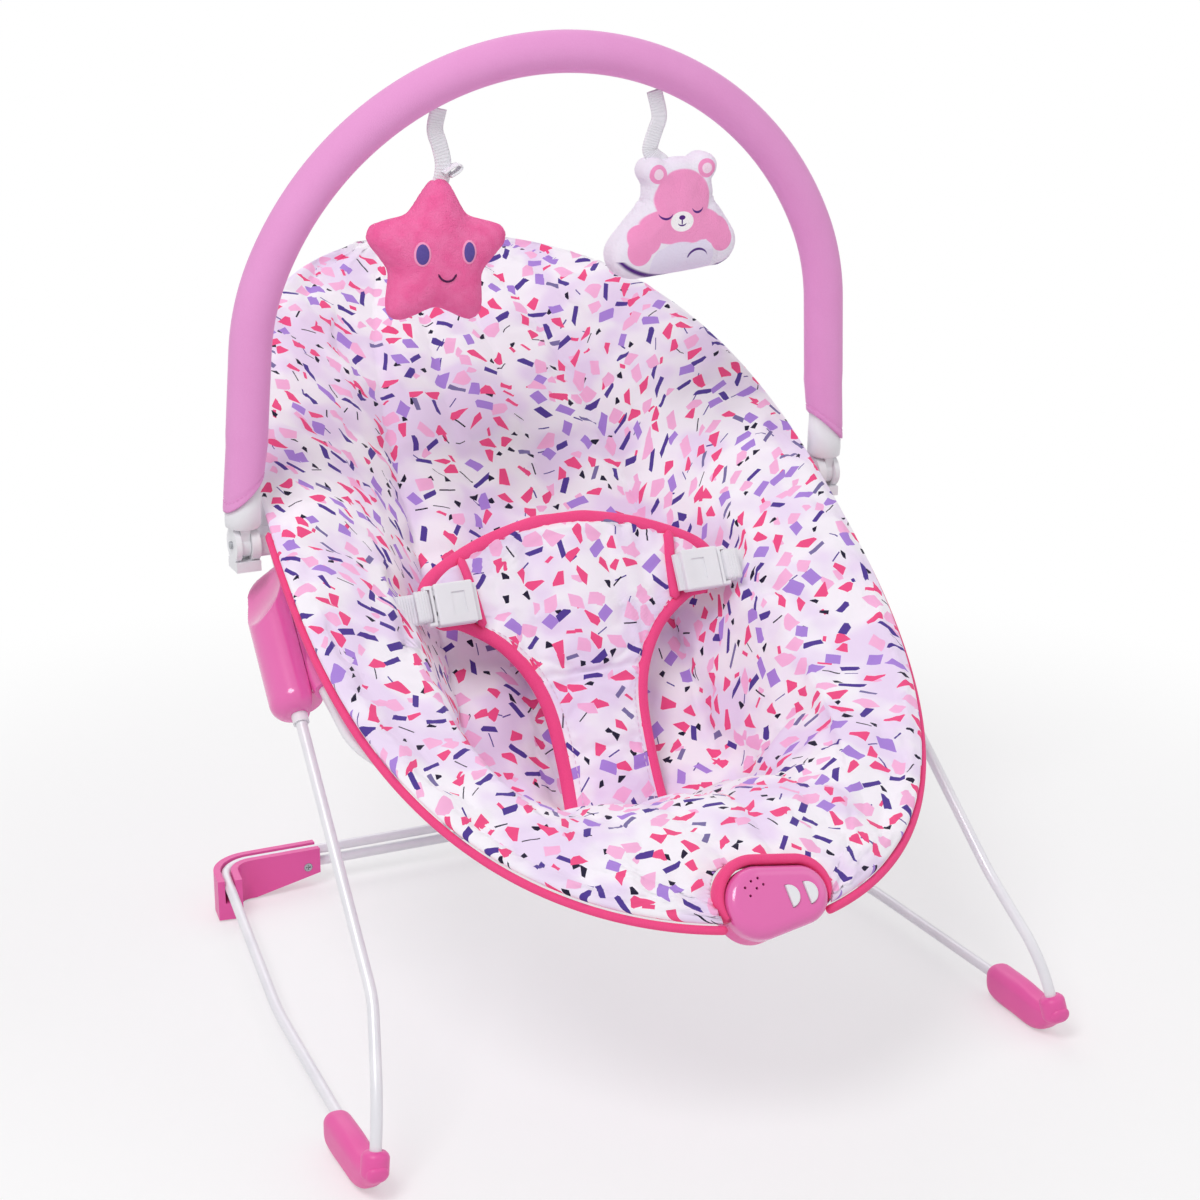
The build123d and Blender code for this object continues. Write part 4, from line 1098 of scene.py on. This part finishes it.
def crotch_cushion():
    """The quilted panel between the legs, as level outlines from its foot to its top."""
    edge = panel_outline(1.5)
    top = PANEL_TOP - 1.4
    order = np.maximum.accumulate(edge[:, 1])
    rings, sewn = [], []
    for v in np.linspace(-1.0, top, 110):
        half = max(float(np.interp(v, order, edge[:, 0])) - 0.6, 1.5)
        shares = np.sin(np.linspace(-pi / 2, pi / 2, 61))
        x = half * shares
        upright = np.exp(-((np.abs(x) - SEAM_X) / 2.2) ** 2) * (v > SEAM_START_V)
        level = np.exp(-((v - LEVEL_SEAM_V) / 2.0) ** 2) * (np.abs(x) < SEAM_X)
        seam = np.maximum(upright, level)
        swell = (1 - np.abs(shares) ** 6) ** 0.5
        close = np.clip((top - v) / 6, 0.05, 1) ** 0.5
        front = (PANEL_THICK / 2 + 0.6) * swell * close - SEAM_DEPTH * seam * swell
        back = -(PANEL_THICK / 2) * swell * close
        level_v = np.full_like(x, v)
        rings.append(np.vstack([on_panel(x, level_v, front), on_panel(x[::-1], level_v, back[::-1])[1:-1]]))
        firm = (half - np.abs(x) < SEWN_EDGE) | (seam > 0.5)
        sewn.append(np.concatenate([np.where(firm, 1.0, 0.0), np.full(59, 0.7)]))
    sewn[0][:] = sewn[-1][:] = 1.0
    made = skin("crotch_cushion", rings, PRINT_CLOTH, middle=30)
    swollen(made, np.concatenate([np.ravel(sewn), (1.0, 1.0)]), 5.0)
    return made


cushion = crotch_cushion()
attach(cushion, "seat")
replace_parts(cushion, "crotch_panel")


BINDING_RADIUS = 4.6


def panel_binding():
    """The bound edge all round the panel, open at its foot."""
    right = panel_outline(2.0)
    right = right[right[:, 1] > -2]
    whole = both_halves(right)
    path = on_panel(whole[:, 0], whole[:, 1], np.zeros(len(whole)))
    return tube("panel_binding", path, BINDING_RADIUS, CORAL_TRIM, sides=16, round_ends=2, flat=0.9)


binding = panel_binding()
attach(binding, "seat")
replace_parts(binding, "crotch_binding")

LOOP_RADIUS = 3.4
LOOP_RISE = 5.0
# The lap strap's way from the wing, round the bar of the tongue and back: across, and above the buckle's foot
LAP_ROUTE = (
    (162, -0.4), (140, -0.2), (118, -0.5), (108.5, -0.3), (104.2, 1.6),
    (103.0, 4.5), (104.2, 7.4), (108, 8.3), (113, 8.2),
)
for side, way, band in (
    ("left", -1, ((74, 180), (72, 173), (69.5, 158), (67.5, 140), (67, 133))),
    ("right", 1, ((73, 180), (72, 173), (70, 158), (68.5, 140), (68, 134))),
):
    path = evenly([(way * x, v) for x, v in band], 2.5)
    path = on_panel(path[:, 0], path[:, 1], np.full(len(path), LOOP_RISE))
    bar = tube(f"panel_loop_{side}", path, LOOP_RADIUS, CORAL_TRIM, sides=14, round_ends=2, flat=0.7)
    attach(bar, "seat")
    web = evenly([(way * x, z) for x, z in LAP_ROUTE], 1.6)
    route = on_panel(web[:, 0], np.full(len(web), BUCKLE_V), BUCKLE_RISE + web[:, 1])
    strap = ribbon(f"lap_webbing_{side}", route, panel_axes()[0], WEBBING_WIDTH, WEBBING_THICK, WEBBING)
    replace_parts(strap, f"lap_strap_{side}")
    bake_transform(strap)

# The panel's stitches: how far inside its outline, how far out of its middle plane, and between which heights
STITCH_INSET = 6.2
STITCH_RISE = 4.9
STITCH_FROM, STITCH_TO = 4.0, 132.0
inner = panel_outline(2.0)
inner = inner[(inner[:, 1] > STITCH_FROM) & (inner[:, 1] < STITCH_TO)]
rows = []
for way in (-1, 1):
    rows.append(on_panel(way * (inner[:, 0] - STITCH_INSET), inner[:, 1], np.full(len(inner), STITCH_RISE)))
stitches("panel_stitches", rows, "seat")


# Toy arch

def arch_line(start_h, spacing=4.0):
    """The arch's middle line, as points across and up from its pivots."""
    lean = atan2(ARCH_X - ARCH_SPRING_X, ARCH_SPRING_H)
    across = ARCH_SPRING_X - ARCH_SIDE_BEND * cos(lean)
    down = ARCH_SPRING_H - ARCH_SIDE_BEND * sin(lean) - ARCH_HEIGHT
    top_bend = (across**2 + down**2 - ARCH_SIDE_BEND**2) / (-2 * down - 2 * ARCH_SIDE_BEND)
    side_z, top_z = ARCH_HEIGHT + down, ARCH_HEIGHT - top_bend
    join = atan2(side_z - top_z, across)
    start_x = ARCH_X - (ARCH_X - ARCH_SPRING_X) * start_h / ARCH_SPRING_H
    count = int(ARCH_SPRING_H / spacing)
    leg = np.linspace((start_x, start_h), (ARCH_SPRING_X, ARCH_SPRING_H), count, endpoint=False)
    turns = np.linspace(lean, join, int(ARCH_SIDE_BEND * (join - lean) / spacing), endpoint=False)
    side = np.array((across, side_z)) + ARCH_SIDE_BEND * np.stack([np.cos(turns), np.sin(turns)], axis=1)
    turns = np.linspace(join, pi / 2, int(top_bend * (pi / 2 - join) / spacing))
    top = np.stack([top_bend * np.cos(turns), top_z + top_bend * np.sin(turns)], axis=1)
    return both_halves(np.vstack([leg, side, top])), top_z, top_bend


def on_arch(points):
    """Points across and up in the arch's leaning plane."""
    lean = radians(ARCH_LEAN)
    points = np.asarray(points, float)
    return ARCH_PIVOT + np.stack([points[:, 0], -points[:, 1] * sin(lean), points[:, 1] * cos(lean)], axis=1)


SLEEVE_SEAM = 11.0
SLEEVE_EASE = 60.0
SLEEVE_STEP = 2.0


def sleeve_end(x):
    """How high the sleeve's slanted end lies at a distance across: lowest on the outer side."""
    inward = ARCH_X + ARCH_SLEEVE_RADIUS - np.abs(x)
    return ARCH_SLEEVE_START + ARCH_SLEEVE_CUT * inward / (2 * ARCH_SLEEVE_RADIUS)


def arch_cover():
    """The sleeve's rings, with both ends cut on a slant, and how near to an end each of them is."""
    path = on_arch(arch_line(ARCH_SLEEVE_START, SLEEVE_STEP)[0])
    reach = lengths(path)
    near = np.minimum(reach, reach[-1] - reach)
    radius = ARCH_SLEEVE_RADIUS - 0.5 * np.exp(-((near - SLEEVE_SEAM) / 1.6) ** 2)
    rings = tube_rings(path, radius, sides=40, round_ends=4.0)
    lean = radians(ARCH_LEAN)
    up = np.array((0, -sin(lean), cos(lean)))
    height = (rings - ARCH_PIVOT) @ up
    cut = sleeve_end(rings[..., 0])
    for order in (np.arange(len(path)), np.arange(len(path))[::-1]):
        leg = order[:int(SLEEVE_EASE / SLEEVE_STEP) + 1]
        share = (near[leg] / SLEEVE_EASE)[:, None]
        eased = (1 - share) * cut[leg] + share * height[leg[-1]]
        rings[leg] += (eased - height[leg])[..., None] * up
    return rings, near


arch_rings, arch_near = arch_cover()
sleeve = skin("arch_cover", arch_rings, LILAC_SLEEVE)
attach(sleeve, "toy_arch")
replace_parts(sleeve, "arch_sleeve")

# The white cups under the sleeve's ends: height of the foot, shift inwards, and depth tucked into the sleeve
CUP_FOOT = 11.8
CUP_INWARD = 0.8
CUP_TUCK = 1.0
for side, way in SIDES:
    turn = full_turn(32)
    behind = np.array((0, cos(radians(ARCH_LEAN)), sin(radians(ARCH_LEAN))))
    rings = []
    for radius, share in ((10.2, 0.0), (11.2, 0.06), (11.4, 0.5), (11.2, 1.0)):
        x = ARCH_X - CUP_INWARD + radius * np.cos(turn)
        foot = on_arch(np.stack([way * x, CUP_FOOT + share * (sleeve_end(x) + CUP_TUCK - CUP_FOOT)], axis=1))
        rings.append(foot + (radius * np.sin(turn))[:, None] * behind)
    cup = skin(f"sleeve_cup_{side}", rings, WHITE_MOULDED)
    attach(cup, "toy_arch")

seams = []
for half in (slice(0, 60), slice(-60, None)):
    at = np.arange(len(arch_near))[half][int(np.argmin(np.abs(arch_near[half] - SLEEVE_SEAM)))]
    ring = arch_rings[at]
    ring = ring.mean(0) + (ring - ring.mean(0)) * 1.02
    seams.append(np.vstack([ring, ring[:1]]))
stitches("sleeve_stitches", seams, "toy_arch", LILAC_SLEEVE, spacing=3.2, length=2.4, thick=0.6)


# Hanging toys

STRAP_GAP = 1.3


def strap_top(x):
    """Where a toy's strap starts, just under the sleeve."""
    line, top_z, top_bend = arch_line(ARCH_SLEEVE_START)
    angle = asin(x / top_bend)
    reach = top_bend - ARCH_SLEEVE_RADIUS - STRAP_GAP
    return on_arch([(reach * sin(angle), top_z + reach * cos(angle))])[0]


def soft_copy(name, node, voxel, finish, rounds):
    """A smooth closed copy of a node's solid, remeshed at voxel millimetres."""
    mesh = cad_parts[node].data.copy()
    made = added(name, mesh)
    with edited(mesh) as joined:
        bmesh.ops.remove_doubles(joined, verts=joined.verts, dist=1e-6)
    softened(made, voxel, rounds)
    made.data.materials.clear()
    made.data.materials.append(finish)
    return made


def front_of(made):
    """A function that gives the front surface's depth at a point across and up."""
    graph = bpy.context.evaluated_depsgraph_get()
    tree = BVHTree.FromObject(made, graph)

    def depth(x, z):
        start = Vector(placed((x, TOY_Y - 200, z)))
        hit = tree.ray_cast(start, Vector((0, 1, 0)))[0]
        return TOY_Y if hit is None else hit.y * 1000 + FEET_TO_MIDDLE

    return depth


star = soft_copy("star_plush", "star_toy", 2.4, PINK_PLUSH, 8)
swollen(star, np.zeros(len(star.data.vertices)), 3.0, pressure=3.0, slack=0.04)
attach(star, "star")
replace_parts(star, "star_toy")

EYE_THREAD = woven("eye_thread", srgb(108, 92, 172), srgb(78, 64, 140), sheen=0.4)
EYE_EDGE = woven("eye_edge", srgb(255, 172, 208), srgb(246, 150, 196))
SMILE_THREAD = woven("smile_thread", srgb(92, 30, 84), srgb(66, 22, 66))
star_depth = front_of(star)


def embroidered_oval(name, x, z, wide, high, finish, depth, rise=0.6):
    """A satin-stitched oval on a toy's front."""
    rings = []
    for share, lift in ((1.0, -0.8), (0.98, 0.2), (0.85, rise * 0.8), (0.55, rise), (0.2, rise)):
        ring = [(x + wide * share * cos(turn), z + high * share * sin(turn)) for turn in full_turn(28)]
        rings.append([(px, depth(px, pz) - lift, pz) for px, pz in ring])
    return skin(name, rings, finish)


def sewn_line(name, points, width, finish, depth):
    """A raised line of thread on a toy's front."""
    path = [(x, depth(x, z) - 0.15, z) for x, z in evenly(points, 1.0)]
    return tube(name, path, width / 2, finish, sides=10, round_ends=width * 0.6)


for side, x, z, wide, high in (("left", -95.0, 483.5, 4.4, 6.6), ("right", -64.5, 482.6, 3.8, 6.5)):
    for part, finish, grow, rise in (("eye", EYE_THREAD, 0.0, 0.8), ("eye_edge", EYE_EDGE, 1.1, 0.35)):
        size = (wide + grow, high + grow)
        oval = embroidered_oval(f"star_{part}_{side}", x, z, *size, finish, star_depth, rise)
        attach(oval, "star")
route = [(-85.4, 470.9), (-83.2, 467.6), (-79.6, 465.8), (-75.9, 466.6), (-73.2, 470.0)]
smile = sewn_line("star_smile", route, 1.3, SMILE_THREAD, star_depth)
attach(smile, "star")


def bear_print(name):
    """A sleepy bear over a cloud, printed on white cloth.

    Its shapes are circles and ovals measured across the toy.
    """
    cloth = Finish(name, roughness=0.9, specular_ior_level=0.15, sheen_weight=0.25, sheen_roughness=0.5)
    spot = cloth.axes()
    x, z = spot[0] * 1000.0, spot[2] * 1000.0

    def oval(cx, cz, wide, high):
        return ((x - cx) / wide) ** 2 + ((z - cz) / high) ** 2

    def inside(cx, cz, wide, high):
        return 1.0 - oval(cx, cz, wide, high).step(0.93, 1.07)

    def arc(cx, cz, wide, high, thick):
        return inside(cx, cz, wide, high) - inside(cx, cz + thick, wide + 0.4, high)

    pink, dark = srgb(250, 160, 208), srgb(84, 36, 128)
    colour = cloth.mix(cloth.noise(18, 2) * 0.5, srgb(247, 243, 252), srgb(230, 220, 244))
    ears = ((66.5, 520.5), (100.5, 522.5))
    fur = inside(83.5, 504, 19.5, 19.0)
    for x_ear, z_ear in ears:
        fur = fur.most(inside(x_ear, z_ear, 6.0, 6.0))
    for blob in (
        (82, 488, 29, 12), (56, 480, 11, 10), (52.5, 473, 8.2, 9), (107, 483, 10, 9), (110, 478, 8.2, 8.5),
    ):
        fur = fur.most(inside(*blob))
    cloud = inside(81, 463, 19, 14.5).most(inside(69, 461, 9, 13)).most(inside(96, 465, 9, 13))
    colour = cloth.mix(fur, colour, cloth.mix(cloth.noise(11, 3) * 0.6, pink, srgb(244, 144, 196)))
    for x_ear, z_ear in ears:
        colour = cloth.mix(inside(x_ear, z_ear, 3.3, 3.4), colour, srgb(252, 224, 242))
    colour = cloth.mix(cloud, colour, srgb(236, 228, 248))
    colour = cloth.mix(inside(81.5, 490.5, 8.0, 6.4), colour, srgb(255, 252, 254))
    eyes = arc(70.5, 496.0, 4.6, 4.0, 1.5).most(arc(93.0, 498.6, 4.4, 3.8, 1.5))
    nose = inside(81.5, 493.0, 2.2, 1.5).most(inside(81.5, 490.4, 0.5, 2.0))
    nose = nose.most(arc(81.5, 489.6, 3.0, 2.2, 1.0))
    fold = inside(93, 466, 7.5, 7.0) - inside(93.5, 464.4, 7.6, 7.0)
    base = inside(81, 475, 45.5, 22.5) - inside(82, 477.6, 45.5, 22.0)
    marks = eyes.most(nose).most(base * (z < 467.0)).most(fold * (z > 467.0))
    colour = cloth.mix(marks, colour, dark)
    cloth.set("Base Color", colour)
    cloth.bump(cloth.noise(1.0, 3) + cloth.noise(14, 2) * 0.5, 0.5)
    return cloth.material


bear = soft_copy("bear_plush", "bear_toy", 1.8, bear_print("bear_print"), 8)
swollen(bear, np.zeros(len(bear.data.vertices)), 2.5, pressure=3.0, slack=0.03)
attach(bear, "bear")
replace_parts(bear, "bear_toy")


def toy_ribbon(name, toy, points, width):
    tape = ribbon(name, evenly(points, 1.2), (1, 0, 0.1), width, WEBBING_THICK, WEBBING)
    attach(tape, toy)
    return tape


# From this height down, over this length, a strap leaves the arch's plane for its toy's
STRAP_BEND_Z = 560.0
STRAP_BEND_LENGTH = 30.0
for toy, x, route in (
    ("star", -82.0, [(-79.0, 556), (-76.2, 546), (-74.0, 536), (-74.6, 528), (-77.5, 519)]),
    ("bear", 73.0, [
        (71.5, 556), (69.0, 547), (66.2, 539), (65.6, 534), (69.5, 529.5), (74.0, 526), (75.0, 519),
    ]),
):
    top = strap_top(x)
    points = [tuple(top)]
    for px, pz in route:
        share = min(1, (STRAP_BEND_Z - pz) / STRAP_BEND_LENGTH)
        points.append((px, top[1] + (TOY_Y - top[1]) * share, pz))
    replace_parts(toy_ribbon(f"{toy}_ribbon", toy, points, 10.5), f"{toy}_strap")
tab = [(-75.0, 529), (-69.5, 532.5), (-65.0, 534.0), (-63.2, 532.2), (-65.5, 529.6), (-70.5, 527.0)]
path = [(x, TOY_Y - 1.5, z) for x, z in evenly(tab, 1.2)]
loop = ribbon("star_tab", path, (0, 1, 0), 9.0, 1.6, WEBBING)
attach(loop, "star")


# Floor, light and camera

FLOOR_GLOW = 0.45


def plain_floor():
    """White paper that takes the seat's shadow, and fades into plain white away from it."""
    corners = [(-6, -6, 0), (6, -6, 0), (6, 6, 0), (-6, 6, 0)]
    floor = piece("floor", corners, [(0, 1, 2, 3)], None, smooth=False)
    paper = Finish("white_floor", roughness=1.0, specular_ior_level=0.0)
    paper.set("Base Color", paper.mix(paper.noise(400, 2), (0.96, 0.96, 0.965, 1), (0.94, 0.94, 0.945, 1)))
    spot = paper.axes()
    far = (spot[0] * spot[0] + spot[1] * spot[1]).step(0.08, 0.75)
    white = paper.node("ShaderNodeEmission", inputs={"Color": (1, 1, 1, 1), "Strength": 1.0})
    lit = Value(paper, paper.shader.outputs[0])
    glow = paper.seen() * (FLOOR_GLOW + far * (1.0 - FLOOR_GLOW))
    both = paper.node("ShaderNodeMixShader", inputs={0: glow, 1: lit, 2: white[0]})
    paper.feed(paper.tree.nodes["Material Output"].inputs["Surface"], both[0])
    floor.data.materials.clear()
    floor.data.materials.append(paper.material)


def soft_lamp(name, place, target, size, power):
    lamp = bpy.data.lights.new(name, "AREA")
    lamp.shape = "DISK"
    lamp.size = size
    lamp.energy = power
    made = added(name, lamp)
    made.location = place
    made.rotation_euler = (Vector(target) - Vector(place)).to_track_quat("-Z", "Y").to_euler()


def pale_room():
    """A world that is white where it is seen or reflected, and a weaker, slightly pink light elsewhere."""
    world = bpy.data.worlds.new("pale_room")
    world.use_nodes = True
    bpy.context.scene.world = world
    room = Nodes(world.node_tree)
    back = room.tree.nodes["Background"]
    back.inputs["Color"].default_value = (1.0, 0.985, 0.995, 1)
    back.inputs["Strength"].default_value = 0.50
    white = room.node("ShaderNodeBackground", inputs={"Color": (1, 1, 1, 1), "Strength": 1.0})
    shaders = {0: room.seen(), 1: Value(room, back.outputs[0]), 2: white[0]}
    both = room.node("ShaderNodeMixShader", inputs=shaders)
    room.feed(room.tree.nodes["World Output"].inputs["Surface"], both[0])


def photo_camera():
    lens = bpy.data.cameras.new("camera")
    lens.lens = 76.02
    lens.sensor_width = 36.0
    camera = added("camera", lens)
    camera.location = (-0.6316, -1.4075, 0.7654)
    camera.rotation_euler = (radians(71.73), 0, radians(-24.66))
    bpy.context.scene.camera = camera


plain_floor()
soft_lamp("key_light", (-1.2, -1.0, 2.3), (0, 0, 0.3), 1.1, 27)
soft_lamp("fill_light", (1.6, -0.9, 1.6), (0, 0, 0.3), 1.8, 5)
soft_lamp("back_light", (0.3, 1.7, 1.9), (0, 0, 0.3), 1.6, 9)
pale_room()
photo_camera()
bpy.context.scene.view_settings.view_transform = "Standard"

bpy.context.view_layer.update()
